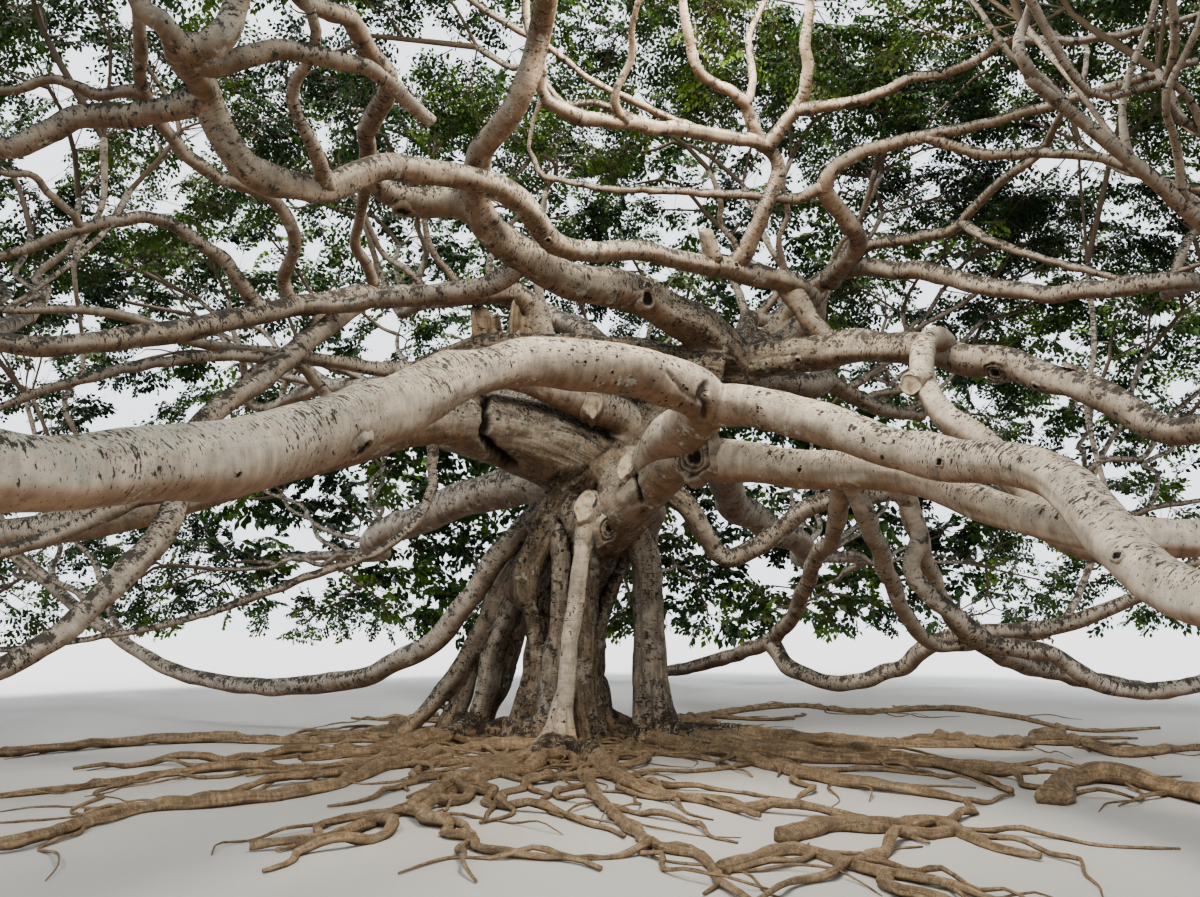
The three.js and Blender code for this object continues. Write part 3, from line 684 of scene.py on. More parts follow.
def bough_limb(bough: Bough, index: int) -> Limb:
    """The limb of a bough, by the frame's rule: to its lobe's seat, with a sway where it has a rise.

    Args:
        bough: which one.
        index: its place in the list, which seeds its sway.

    Returns:
        Its limb.
    """
    route = [np.array(place, dtype=float) for place in bough.route]
    if bough.lobe is not None:
        seat = LOBES[bough.lobe].seat
        if bough.rise is not None:
            roll = Dice(SWAY_SEED + index)
            start = route[-1]
            ahead = unit((seat - start) * [1.0, 1.0, 0.0])
            side = np.array([-ahead[1], ahead[0], 0.0])
            for share in (0.25, 0.5, 0.75):
                place = start + (seat - start) * share + side * (roll() * 2 - 1) * SWAY
                place[2] += math.sin(share * math.pi) * bough.rise + (roll() - 0.5) * SWAY * SWAY_UP
                route.append(place)
        route.append(seat)
    return Limb(bough.name, route, bough.radii, seed=index + 1)


LIMBS = {bough.name: bough_limb(bough, index) for index, bough in enumerate(BOUGHS)}

# View of the photograph: its camera, and the pixels at its middle and in a radian
CAMERA_PLACE = (0.2, -17.5, 2.0)
CAMERA_PITCH = math.radians(9.8)
PHOTO_MIDDLE = (600.0, 448.5)
PHOTO_FOCUS = 1000.0
VIEW_AHEAD = np.array([0.0, math.cos(CAMERA_PITCH), math.sin(CAMERA_PITCH)])
VIEW_UP = np.array([0.0, -math.sin(CAMERA_PITCH), math.cos(CAMERA_PITCH)])


def seen_place(pixel: Place2, depth: float) -> np.ndarray:
    """The place that a pixel of the photograph shows at a depth along the view."""
    across = (pixel[0] - PHOTO_MIDDLE[0]) / PHOTO_FOCUS
    up = (PHOTO_MIDDLE[1] - pixel[1]) / PHOTO_FOCUS
    return np.array(CAMERA_PLACE) + depth * (VIEW_AHEAD + np.array([across, 0.0, 0.0]) + VIEW_UP * up)


def seen_pixels(places: np.ndarray) -> tuple[np.ndarray, np.ndarray]:
    """The pixels of places, and their depths along the view."""
    offset = places - np.array(CAMERA_PLACE)
    depth = offset @ VIEW_AHEAD
    held = np.maximum(depth, 0.1)
    across, up = offset[:, 0] / held, offset @ VIEW_UP / held
    pixels = np.column_stack([PHOTO_MIDDLE[0] + across * PHOTO_FOCUS, PHOTO_MIDDLE[1] - up * PHOTO_FOCUS])
    return pixels, depth


class Trace(NamedTuple):
    """A limb traced along the photograph, from where it leaves another limb.

    The depth runs evenly from that limb's own depth to end_depth, in metres, and the radii are in metres too.
    """

    name: str
    parent: str
    pixels: Pixels
    end_depth: float
    radii: tuple[float, ...]


TRACES = (
    Trace(
        "far_arm", "winding",
        ((196, 108), (165, 111), (126, 115), (77, 115), (50, 130), (23, 142), (-20, 150), (-90, 130)),
        9.9, (0.12, 0.12, 0.11, 0.07),
    ),
    Trace(
        "swag", "long_left",
        ((330, 318), (300, 308), (284, 280), (293, 249), (287, 218), (262, 192), (226, 180), (191, 157),
         (161, 126), (147, 100), (140, 70), (141, 40), (140, -20), (160, -90)),
        10.6, (0.1, 0.09, 0.085, 0.075, 0.05),
    ),
    Trace("thin_arm", "swag", ((147, 97), (134, 92), (96, 94), (77, 86), (50, 80), (0, 90), (-70, 66)), 11.2,
          (0.07, 0.04)),
    Trace("second_fork", "winding", ((192, 45), (214, 40), (230, 23), (235, -4), (250, -70)), 9.6,
          (0.14, 0.12, 0.07)),
    Trace(
        "broken_arm", "winding",
        ((200, 52), (237, 61), (275, 48), (314, 57), (360, 65), (383, 80), (410, 103), (432, 122)),
        10.9, (0.1, 0.1, 0.085, 0.075),
    ),
    Trace(
        "riser", "long_left",
        ((380, 287), (367, 264), (356, 245), (360, 214), (366, 186), (367, 157), (367, 134), (383, 103),
         (386, 73), (367, 50), (352, 23), (329, 12), (298, -6), (260, -60)),
        10.4, (0.08, 0.08, 0.13, 0.12, 0.07),
    ),
    Trace(
        "pale_left", "long_left",
        ((260, 302), (245, 291), (222, 260), (191, 237), (161, 220), (115, 220), (77, 230), (38, 245),
         (0, 256), (-70, 262)),
        12.0, (0.1, 0.09, 0.07, 0.04),
    ),
    Trace("pale_twin", "pale_left", ((84, 228), (73, 214), (50, 195), (31, 174), (0, 172), (-60, 150)), 11.6,
          (0.05, 0.035)),
    Trace(
        "under_left", "upper_left",
        ((520, 276), (494, 283), (459, 291), (421, 295), (383, 299), (344, 306), (300, 305)), 14.5,
        (0.15, 0.13, 0.1),
    ),
    Trace(
        "elbow", "upper_left", ((480, 214), (450, 204), (420, 204), (392, 197), (374, 182), (367, 160)), 13.2,
        (0.2, 0.2, 0.18, 0.14),
    ),
    Trace(
        "down_fork", "long_left",
        ((333, 322), (306, 337), (276, 360), (245, 379), (214, 417), (180, 445), (130, 460)), 13.2,
        (0.1, 0.08, 0.04),
    ),
    Trace(
        "brown_left", "massive_left",
        ((655, 452), (628, 428), (592, 406), (545, 388), (500, 376), (440, 370), (380, 370), (325, 360),
         (268, 352), (230, 348), (191, 341), (134, 318), (77, 310), (0, 310), (-70, 296)),
        12.4, (0.34, 0.29, 0.21, 0.13, 0.09, 0.075, 0.06, 0.04),
    ),
    Trace(
        "brown_low", "massive_left",
        ((340, 398), (318, 383), (291, 362), (237, 356), (199, 357), (161, 362), (115, 371), (77, 381),
         (0, 406), (-60, 430)),
        11.8, (0.1, 0.08, 0.065, 0.04),
    ),
    Trace(
        "upright_left", "upright",
        ((765, 150), (753, 126), (745, 103), (715, 84), (698, 69), (690, 42), (682, 0), (690, -60)), 14.2,
        (0.1, 0.08, 0.04),
    ),
    Trace(
        "upright_right", "upright",
        ((765, 150), (784, 126), (799, 103), (807, 77), (805, 42), (810, 0), (800, -60)), 14.4,
        (0.1, 0.085, 0.045),
    ),
    Trace("upright_middle", "upright_left", ((748, 104), (753, 77), (749, 38), (765, 0), (778, -50)), 15.2,
          (0.06, 0.035)),
    Trace(
        "top_arch", "upright_right",
        ((800, 110), (845, 103), (883, 92), (906, 80), (944, 73), (983, 57), (1006, 42), (1080, 40),
         (1150, 28), (1230, 6)),
        13.0, (0.085, 0.075, 0.06, 0.04),
    ),
    Trace(
        "low_arch", "right_arch",
        ((930, 142), (983, 153), (1040, 153), (1097, 157), (1155, 180), (1200, 191), (1270, 200)), 13.0,
        (0.08, 0.07, 0.04),
    ),
    Trace(
        "rising_right", "right_high",
        ((845, 272), (868, 246), (918, 237), (952, 230), (975, 207), (998, 184), (1040, 153), (1056, 122),
         (1080, 84)),
        14.0, (0.1, 0.09, 0.07, 0.04),
    ),
    Trace(
        "low_sweep", "rising_right",
        ((962, 222), (983, 237), (1021, 252), (1078, 268), (1136, 279), (1210, 262)), 13.6, (0.07, 0.04),
    ),
    Trace("level_arm", "right_arch", ((822, 188), (791, 199), (745, 195), (677, 191), (600, 188), (550, 178)),
          17.2, (0.08, 0.07, 0.05)),
    Trace("leg", "winding", ((791, 281), (808, 318), (832, 350)), 17.0, (0.17, 0.19, 0.2)),
    Trace(
        "climber", "right_upper",
        ((952, 356), (938, 336), (924, 344), (922, 370), (930, 395), (948, 418), (985, 446), (1030, 500),
         (1075, 538), (1130, 548), (1200, 530), (1290, 516)),
        11.2, (0.13, 0.16, 0.17, 0.2, 0.21, 0.16, 0.1),
    ),
    Trace("second_drop", "knotted", ((850, 486), (873, 535), (887, 572), (905, 618), (940, 645), (1000, 640)),
          14.4, (0.14, 0.12, 0.1, 0.06)),
    Trace(
        "low_wave", "knotted",
        ((893, 472), (918, 530), (912, 570), (940, 604), (985, 640), (1050, 655), (1110, 688), (1200, 686),
         (1290, 650)),
        12.2, (0.12, 0.11, 0.11, 0.1, 0.06),
    ),
    Trace(
        "ground_wave", "hanging",
        ((770, 640), (790, 668), (840, 684), (900, 668), (940, 640), (1000, 632), (1060, 626), (1130, 600),
         (1200, 560)),
        12.6, (0.12, 0.12, 0.12, 0.11, 0.06),
    ),
    Trace(
        "thin_low", "massive_left",
        ((432, 440), (428, 500), (384, 548), (305, 578), (240, 602), (170, 624), (80, 640), (0, 650),
         (-60, 640)),
        13.0, (0.08, 0.065, 0.05, 0.035),
    ),
    Trace("left_low_arm", "left_hanging", ((158, 480), (120, 505), (60, 532), (0, 552), (-70, 560)), 11.0,
          (0.11, 0.1, 0.06)),
)


def ground_place(pixel: Place2, height: float) -> np.ndarray:
    """The place where a pixel of the photograph shows the ground, or a level a little over it."""
    eye = np.array(CAMERA_PLACE)
    ray = seen_place(pixel, 1.0) - eye
    return eye + ray * (height - eye[2]) / ray[2]


def trace_limb(trace: Trace, index: int) -> Limb:
    """The limb of a trace, which starts on its parent's centreline."""
    parent = LIMBS[trace.parent]
    line = parent.places(np.linspace(0.0, parent.length, 240))
    pixels, depths = seen_pixels(line)
    nearest = int(np.argmin(np.linalg.norm(pixels - np.array(trace.pixels[0]), axis=1)))
    run = np.linspace(depths[nearest], trace.end_depth, len(trace.pixels))
    route = [line[nearest], *(seen_place(pixel, depth) for pixel, depth in zip(trace.pixels[1:], run[1:]))]
    return Limb(trace.name, route, trace.radii, seed=Seed.TRACES + index)


for trace_index, each_trace in enumerate(TRACES):
    LIMBS[each_trace.name] = trace_limb(each_trace, trace_index)
OLD_RIDGE_PIXELS = (
    (720, 376), (680, 368), (635, 356), (585, 349), (540, 347), (500, 349), (462, 355), (425, 368),
    (385, 392),
)
OLD_RIDGE_DEPTH = 17.0
LIMBS["old_ridge"] = Limb(
    "old_ridge",
    [seen_place(pixel, OLD_RIDGE_DEPTH) for pixel in OLD_RIDGE_PIXELS],
    [0.4, 0.34, 0.28, 0.25, 0.25, 0.28, 0.24, 0.2, 0.15],
    Seed.OLD_RIDGE,
)
LIMBS["pillar_head"] = Limb(
    "pillar_head",
    [(-0.09, -1.3, 3.0), (-0.03, -1.3, 3.45), (0.03, -1.2, 4.05)],
    [0.12, 0.2, 0.15],
    Seed.PILLAR_HEAD,
)


# Surface roots of the frame: radii at foot and tip, and the way over the ground
SURFACE_ROOTS = {
    "surface_root_front_left": ((0.26, 0.05), ((-0.45, -1.6), (-0.7, -2.6), (-1.3, -4), (-1.9, -5.6))),
    "surface_root_front": ((0.22, 0.05), ((-0.4, -1.6), (0.1, -2.7), (0.4, -4.2), (1, -5.6))),
    "surface_root_right": ((0.3, 0.06), ((1.1, -0.4), (1.9, -1.4), (3, -2.2), (4.6, -2.9), (6, -3.7))),
    "surface_root_far_right": ((0.26, 0.05), ((1.1, -0.3), (2.6, -0.2), (4.3, -0.6), (6.2, -0.9))),
    "surface_root_left": ((0.28, 0.05), ((-2, 0.9), (-2.6, -0.5), (-3.2, -1.7), (-4.2, -2.3))),
}
ROOT_SINK = 0.35
ROOT_FOOT = 1.3


class RootTrace(NamedTuple):
    """A long root traced over the ground of the photograph, with its radius at the foot in metres."""

    pixels: Pixels
    girth: float


ROOT_TRACES = (
    RootTrace(((650, 722), (700, 745), (760, 764), (840, 780), (920, 790), (968, 800)), 0.15),
    RootTrace(((660, 716), (720, 728), (800, 738), (880, 752), (960, 770), (1010, 790)), 0.12),
    RootTrace(((640, 735), (610, 765), (640, 790), (700, 800), (760, 815)), 0.1),
    RootTrace(((560, 750), (500, 762), (440, 790), (400, 812), (330, 835), (250, 846)), 0.12),
    RootTrace(((545, 745), (470, 750), (400, 762), (320, 790), (230, 800), (120, 812), (20, 842), (-80, 850)),
              0.13),
    RootTrace(((585, 770), (600, 800), (650, 842), (700, 856), (720, 880), (760, 905)), 0.075),
    RootTrace(((430, 715), (370, 735), (300, 742), (210, 738), (120, 742), (0, 752), (-90, 750)), 0.13),
    RootTrace(((460, 720), (400, 752), (330, 768), (240, 765), (150, 776), (60, 790), (-60, 800)), 0.1),
    RootTrace(((690, 719), (745, 710), (800, 706), (860, 712), (940, 708), (1010, 716), (1080, 730),
               (1160, 728)), 0.1),
    RootTrace(((940, 735), (1000, 745), (1060, 738), (1120, 752), (1200, 748), (1290, 760)), 0.12),
    RootTrace(((1050, 795), (1075, 780), (1130, 778), (1180, 790), (1240, 806)), 0.17),
    RootTrace(((780, 838), (830, 824), (880, 828), (930, 822), (990, 846), (1040, 856)), 0.1),
    RootTrace(((720, 872), (790, 850), (860, 868), (930, 880), (1000, 900)), 0.07),
)


def root_limb(name: str, index: int) -> Limb:
    """The limb of a surface root, half sunk in the ground by the frame's rule."""
    radii, route = SURFACE_ROOTS[name]
    last = len(route) - 1
    girths = [radii[0] + (radii[1] - radii[0]) * j / last for j in range(last + 1)]
    places = [(x, y, girths[j] * ROOT_SINK) for j, (x, y) in enumerate(route)]
    return Limb(name, places, list(radii), Seed.ROOTS + index)


ROOTS = {name: root_limb(name, index) for index, name in enumerate(SURFACE_ROOTS)}


# Finishes
@dataclass(frozen=True)
class BarkFinish:
    """Colours of a bark on top and on its underside, whose darker colour is painted shade, and how strong its
    marks are.
    """

    name: str
    top: Place
    painted_underside_shade: Place
    fleck: Place
    lichen: Place
    flecks: float
    lichens: float
    roughness: float
    bump: float
    age: float = 0.0


@dataclass(frozen=True)
class PlainFinish:
    """One colour with a roughness, for leaves and fine twigs."""

    name: str
    colour: Place
    roughness: float


# The second colour of each bark is painted shade, which its underside takes on.
PALE_BARK = BarkFinish(
    "pale_bark", (0.56, 0.485, 0.395), (0.23, 0.135, 0.078), (0.022, 0.019, 0.016), (0.46, 0.47, 0.4),
    flecks=1.0, lichens=0.55, roughness=0.7, bump=0.5,
)
OLD_BARK = BarkFinish(
    "trunk_bark", (0.3, 0.235, 0.165), (0.17, 0.115, 0.072), PALE_BARK.fleck, (0.46, 0.43, 0.36),
    flecks=1.0, lichens=0.75, roughness=0.7, bump=0.75,
)
ROOT_BARK = BarkFinish(
    "root_bark", (0.53, 0.385, 0.24), (0.24, 0.15, 0.084), (0.06, 0.04, 0.024), (0.46, 0.38, 0.27),
    flecks=0.45, lichens=0.4, roughness=0.85, bump=0.7, age=0.6,
)
FLECK_COVER = 0.92
# Near black, painted as shade into grooves, tears and the hollows of scars
HOLLOW_SHADE_COLOUR = (0.02, 0.013, 0.009)
WOOD_COLOURS = ((0.5, 0.44, 0.33), (0.26, 0.19, 0.12), (0.07, 0.045, 0.025))


class Tone(Enum):
    """Leaf colours, dealt out by spray."""

    DEEP = PlainFinish("leaf_deep", (0.014, 0.038, 0.008), 0.45)
    DARK = PlainFinish("leaf_dark", (0.026, 0.064, 0.012), 0.45)
    MID = PlainFinish("leaf_mid", (0.052, 0.115, 0.018), 0.47)
    FRESH = PlainFinish("leaf_fresh", (0.115, 0.2, 0.026), 0.47)
    OLIVE = PlainFinish("leaf_olive", (0.085, 0.11, 0.03), 0.5)


# Twig bark: its own brown, made darker as painted shade for twigs seen against the sky
TWIG_FINISH = PlainFinish("twig_bark", (0.15, 0.11, 0.075), 0.8)


class Mark(Enum):
    """Marks of bark, with how many fit in a metre along a limb and across it."""

    DASHES = (30.0, 11.0)
    SPECKS = (58.0, 30.0)
    CRUSTS = (7.0, 6.0)
    RINGS = (22.0, 2.2)
    GRAIN = (3.0, 26.0)
    FURROWS = (2.2, 19.0)


class NodeSheet:
    """A shader node tree that is written one node at a time."""

    def __init__(self, tree: bpy.types.NodeTree) -> None:
        """Works on a node tree."""
        self.tree = tree

    def add(self, kind: str, inputs: dict[str | int, object] | None = None,
            **settings: object) -> bpy.types.Node:
        """Adds a node.

        Args:
            kind: the node's type, without ShaderNode.
            inputs: values or output sockets for its inputs.
            settings: its own properties.

        Returns:
            The node.
        """
        node = self.tree.nodes.new(kind if kind.startswith("NodeGroup") else "ShaderNode" + kind)
        for key, value in settings.items():
            setattr(node, key, value)
        for key, value in (inputs or {}).items():
            if isinstance(value, bpy.types.NodeSocket):
                self.tree.links.new(value, node.inputs[key])
            else:
                node.inputs[key].default_value = value
        return node

    def math(self, operation: str, *values: object, clamp: bool = False) -> bpy.types.NodeSocket:
        """The result of a Math node."""
        node = self.add("Math", dict(enumerate(values)), operation=operation, use_clamp=clamp)
        return node.outputs[0]

    def ramp(self, value: object, low: float, high: float, start: float = 0.0,
             end: float = 1.0) -> bpy.types.NodeSocket:
        """A value spread smoothly from one range to another, and held at its ends."""
        ends = {"From Min": low, "From Max": high, "To Min": start, "To Max": end}
        node = self.add("MapRange", {"Value": value, **ends})
        node.interpolation_type = "SMOOTHSTEP"
        return node.outputs["Result"]

    def noise(self, vector: object, scale: float, detail: float = 3.0,
              rough: float = 0.55) -> bpy.types.NodeSocket:
        """The value of a Noise Texture."""
        node = self.add("TexNoise", {"Vector": vector, "Scale": scale, "Detail": detail, "Roughness": rough})
        return node.outputs["Fac"]

    def blend(self, share: object, first: object, second: object) -> bpy.types.NodeSocket:
        """A colour between two colours."""
        node = self.add("Mix", data_type="RGBA")
        for socket, value in zip((node.inputs[0], node.inputs[6], node.inputs[7]), (share, first, second)):
            if isinstance(value, bpy.types.NodeSocket):
                self.tree.links.new(value, socket)
            else:
                socket.default_value = value if isinstance(value, float) else (*value, 1.0)
        return node.outputs[2]


def bark_group() -> bpy.types.NodeTree:
    """The bark's shared effects: where flecks, lichen and grain lie, how its tone varies, with shade painted
    into its furrows, and how high the surface stands.

    Returns:
        A node group with the inputs Limb Space, Age, Upward and Crowd, and the outputs Flecks, Lichen, Shade
        and Height.
    """
    tree = bpy.data.node_groups.new("bark_marks", "ShaderNodeTree")
    tree.interface.new_socket("Limb Space", in_out="INPUT", socket_type="NodeSocketVector")
    for name in ("Age", "Upward", "Crowd"):
        tree.interface.new_socket(name, in_out="INPUT", socket_type="NodeSocketFloat")
    for name in ("Flecks", "Lichen", "Shade", "Height"):
        tree.interface.new_socket(name, in_out="OUTPUT", socket_type="NodeSocketFloat")
    sheet = NodeSheet(tree)
    given = sheet.add("NodeGroupInput")
    laid, age, many = given.outputs["Limb Space"], given.outputs["Age"], given.outputs["Crowd"]
    spot = sheet.add("TexCoord").outputs["Object"]
    upper = sheet.ramp(given.outputs["Upward"], -0.25, 0.75)

    def stretched(mark: Mark) -> bpy.types.NodeSocket:
        """The limb's own space, drawn out across it or along it to a mark's size."""
        along, across = mark.value
        node = sheet.add("Mapping", {"Vector": laid, "Scale": (along, across, across)})
        return node.outputs[0]

    def sum_of(*terms: tuple[object, float]) -> bpy.types.NodeSocket:
        """The sum of sockets, each times its own factor, where a factor of 1 leaves it as it is."""
        parts = [part if factor == 1 else sheet.math("MULTIPLY", part, factor) for part, factor in terms]
        total = parts[0]
        for part in parts[1:]:
            total = sheet.math("ADD", total, part)
        return total

    patches = sheet.noise(spot, 0.9, 3.0, 0.6)
    warp = sheet.add("VectorMath", {0: spot, 1: (2.3, 2.3, 2.3)}, operation="MULTIPLY").outputs[0]
    swirl = sheet.add("TexNoise", {"Vector": warp, "Scale": 1.0, "Detail": 2.0}).outputs["Color"]
    bent = sheet.add("VectorMath", {0: swirl, 1: (1.6, 1.6, 1.6)}, operation="MULTIPLY").outputs[0]
    dash_space = sheet.add("VectorMath", {0: stretched(Mark.DASHES), 1: bent}, operation="ADD").outputs[0]
    dashes = sheet.noise(dash_space, 1.0, 3.0, 0.66)
    specks = sheet.noise(stretched(Mark.SPECKS), 1.0, 2.0, 0.6)
    crowd = sum_of((upper, 0.1), (sheet.ramp(patches, 0.32, 0.68, -0.02, 0.075), 1), (many, 0.034))
    dash_mask = sheet.ramp(sum_of((dashes, 1), (crowd, 1)), 0.665, 0.715)
    crusts = sum_of((sheet.noise(stretched(Mark.CRUSTS), 1.0, 6.0, 0.72), 1), (upper, 0.1))
    crust_mask = sheet.math("MULTIPLY", sheet.ramp(crusts, 0.565, 0.63), sheet.math("MULTIPLY", many, 0.9))
    speck_mask = sheet.ramp(sum_of((specks, 1), (crowd, 0.9)), 0.685, 0.74)
    flecks = sheet.math("MAXIMUM", dash_mask, sheet.math("MULTIPLY", speck_mask, 0.8))
    flecks = sheet.math("MAXIMUM", flecks, crust_mask)
    blotches = sheet.noise(spot, 3.4, 5.0, 0.65)
    islands = sheet.noise(spot, 13.0, 4.0, 0.7)
    across, ahead, _ = sheet.add("SeparateXYZ", {0: spot}).outputs
    outer = sheet.math("MULTIPLY", sheet.ramp(ahead, -7.5, -10.0), sheet.ramp(across, 0.5, -1.5))
    outer = sheet.math("MULTIPLY", outer, upper)
    growth = sum_of((blotches, 0.65), (islands, 0.35), (upper, 0.045), (age, 0.03), (outer, 0.07))
    lichen = sheet.ramp(growth, 0.56, 0.63)
    rings = sheet.noise(stretched(Mark.RINGS), 1.0, 4.0, 0.6)
    grain = sheet.noise(stretched(Mark.GRAIN), 1.0, 5.0, 0.65)
    clouds = sheet.noise(spot, 5.0, 4.0, 0.6)
    furrows = sheet.noise(stretched(Mark.FURROWS), 1.0, 8.0, 0.7)
    # painted shade: old bark darkens where the furrows of its bump sink and lightens on their ridges
    furrow_shade = sheet.math("MULTIPLY", sheet.math("SUBTRACT", furrows, 0.5), sheet.math("MULTIPLY", age, 1.9))
    shade = sum_of((clouds, 0.66), (rings, 0.34), (furrow_shade, 1))
    rough = sheet.math("MULTIPLY", sum_of((furrows, 1), (grain, 0.5)), sheet.math("MULTIPLY", age, 2.4))
    height = sum_of((rings, 0.4), (grain, 0.25), (rough, 1), (lichen, 0.12), (flecks, -0.12))
    sheet.add("NodeGroupOutput", {"Flecks": flecks, "Lichen": lichen, "Shade": shade, "Height": height})
    return tree


def bark_material(
    young: BarkFinish, old: BarkFinish | None, group: bpy.types.NodeTree
) -> bpy.types.Material:
    """A bark that goes from one finish to another with the attribute age, or keeps one.

    Args:
        young: the finish at age 0.
        old: the finish at age 1, or None to keep one finish.
        group: the shared bark marks.

    Returns:
        The material.
    """
    last = old or young
    material = bpy.data.materials.new(last.name)
    material.use_nodes = True
    sheet = NodeSheet(material.node_tree)
    shader = material.node_tree.nodes["Principled BSDF"]
    laid = sheet.add("Attribute", attribute_name="limb_space").outputs["Vector"]
    facing = sheet.add("Attribute", attribute_name="upward").outputs["Fac"]
    crowd = sheet.add("Attribute", attribute_name="crowd").outputs["Fac"]
    age: object = sheet.add("Attribute", attribute_name="age").outputs["Fac"] if old else young.age
    inputs = {"Limb Space": laid, "Age": age, "Upward": facing, "Crowd": crowd}
    marks = sheet.add("Group", inputs, node_tree=group)

    def either(first: object, second: object) -> object:
        """A value for the young bark, going over to one for the old."""
        return sheet.blend(age, first, second) if old else first

    # painted shade: the bark goes over to its darker underside colour where its surface faces down
    painted_underside_shade = sheet.ramp(facing, 0.15, -0.92)
    ground = sheet.blend(painted_underside_shade, either(young.top, last.top), either(young.painted_underside_shade, last.painted_underside_shade))
    if old:
        height = sheet.add("SeparateXYZ", {0: sheet.add("TexCoord").outputs["Object"]}).outputs[2]
        earth = sheet.blend(painted_underside_shade, ROOT_BARK.top, ROOT_BARK.painted_underside_shade)
        ground = sheet.blend(sheet.ramp(height, 0.75, 0.1, 0.0, 0.9), ground, earth)
    shade = sheet.ramp(marks.outputs["Shade"], 0.28, 0.72, 0.6, 1.3)
    # painted shade: bark on all limbs but the front ones is darkened by up to a fifth, for the shade deeper
    # in the crown
    shade = sheet.math("MULTIPLY", shade, sheet.ramp(crowd, 0.0, 1.0, 1.0, 0.8))
    dim = sheet.add("VectorMath", {0: ground, "Scale": shade}, operation="SCALE")
    lichen_share = sheet.math("MULTIPLY", marks.outputs["Lichen"], last.lichens)
    with_lichen = sheet.blend(lichen_share, dim.outputs[0], either(young.lichen, last.lichen))
    fleck_share = sheet.math("MULTIPLY", marks.outputs["Flecks"], young.flecks * FLECK_COVER)
    colour = sheet.blend(fleck_share, with_lichen, young.fleck)
    if old:
        # painted shade: the attribute scar darkens grooves, tears and hollows nearly to black
        scar = sheet.add("Attribute", attribute_name="scar").outputs["Fac"]
        colour = sheet.blend(scar, colour, HOLLOW_SHADE_COLOUR)
    bump = sheet.add("Bump", {"Height": marks.outputs["Height"], "Strength": last.bump, "Distance": 0.05})
    sheet.tree.links.new(colour, shader.inputs["Base Color"])
    sheet.tree.links.new(bump.outputs[0], shader.inputs["Normal"])
    shader.inputs["Roughness"].default_value = young.roughness
    shader.inputs["Specular IOR Level"].default_value = 0.3
    return material


def plain_material(finish: PlainFinish) -> bpy.types.Material:
    """A material of one colour."""
    material = bpy.data.materials.new(finish.name)
    material.use_nodes = True
    shader = material.node_tree.nodes["Principled BSDF"]
    shader.inputs["Base Color"].default_value = (*finish.colour, 1.0)
    shader.inputs["Roughness"].default_value = finish.roughness
    shader.inputs["Specular IOR Level"].default_value = 0.35
    return material


def wood_material() -> bpy.types.Material:
    """Pale sawn wood with grey and brown weathering."""
    material = bpy.data.materials.new("sawn_wood")
    material.use_nodes = True
    sheet = NodeSheet(material.node_tree)
    shader = material.node_tree.nodes["Principled BSDF"]
    spot = sheet.add("TexCoord").outputs["Object"]
    weather = sheet.ramp(sheet.noise(spot, 9.0, 5.0, 0.65), 0.4, 0.68)
    checks = sheet.ramp(sheet.noise(spot, 38.0, 3.0, 0.6), 0.62, 0.7)
    fresh, grey, dark = WOOD_COLOURS
    aged = sheet.blend(weather, fresh, grey)
    sheet.tree.links.new(sheet.blend(checks, aged, dark), shader.inputs["Base Color"])
    shader.inputs["Roughness"].default_value = 0.85
    return material


class Barks:
    """The bark materials, made once and shared."""

    def __init__(self) -> None:
        """Makes the shared marks and the materials."""
        group = bark_group()
        self.pale = bark_material(PALE_BARK, None, group)
        self.fused = bark_material(PALE_BARK, OLD_BARK, group)
        self.root = bark_material(ROOT_BARK, None, group)
        self.wood = wood_material()


def add_piece(
    mesh: bpy.types.Mesh, name: str, materials: list[bpy.types.Material], slot: str, *nodes: str
) -> None:
    """Puts a finished mesh in the scene as a piece of the tree.

    Args:
        mesh: the mesh, in the frame's space.
        name: the piece's name.
        materials: its material slots.
        slot: the name of a slot in the record; not used.
        nodes: frame nodes that it stands for.
    """
    for material in materials:
        mesh.materials.append(material)
    piece = bpy.data.objects.new(name, mesh)
    bpy.context.scene.collection.objects.link(piece)
    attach(piece, "root")
    if nodes:
        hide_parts(*nodes)
    LOG.info("%s: %d faces", name, len(mesh.polygons))


def finish_bark(mesh: bpy.types.Mesh) -> None:
    """Shades a bark mesh smooth, and gives each vertex the attribute upward: the height of its normal."""
    mesh.polygons.foreach_set("use_smooth", np.ones(len(mesh.polygons), dtype=bool))
    add_values(mesh, "upward", normals_of(mesh)[:, 2])


def coordinates(mesh: bpy.types.Mesh) -> np.ndarray:
    """A mesh's vertices, n by 3."""
    flat = np.zeros(len(mesh.vertices) * 3)
    mesh.vertices.foreach_get("co", flat)
    return flat.reshape(-1, 3)


def normals_of(mesh: bpy.types.Mesh) -> np.ndarray:
    """A mesh's vertex normals, n by 3."""
    flat = np.zeros(len(mesh.vertices) * 3)
    mesh.vertex_normals.foreach_get("vector", flat)
    return flat.reshape(-1, 3)


def joined(meshes: list[bpy.types.Mesh], name: str) -> bpy.types.Mesh:
    """One mesh from several, with their attributes kept."""
    shape = bmesh.new()
    for mesh in meshes:
        shape.from_mesh(mesh)
        bpy.data.meshes.remove(mesh)
    union = bpy.data.meshes.new(name)
    shape.to_mesh(union)
    shape.free()
    return union


def search_tree(places: np.ndarray) -> KDTree:
    """A tree that finds the nearest of some places."""
    tree = KDTree(len(places))
    for k, place in enumerate(places):
        tree.insert(place, k)
    tree.balance()
    return tree


class Aged(NamedTuple):
    """A stretch of a fused body and how old its bark looks at its start and its end."""

    stretch: Stretch
    old_at_start: float
    old_at_end: float


class Tear(NamedTuple):
    """A jagged line of the photograph along which the bark is torn or folded in.

    width is in pixels, depth in metres, dark how dark the shade painted into it is, and only wood between the
    view depths before and behind is torn.
    """

    line: tuple[Place2, ...]
    width: float
    depth: float
    before: float
    behind: float
    dark: float = 1.0


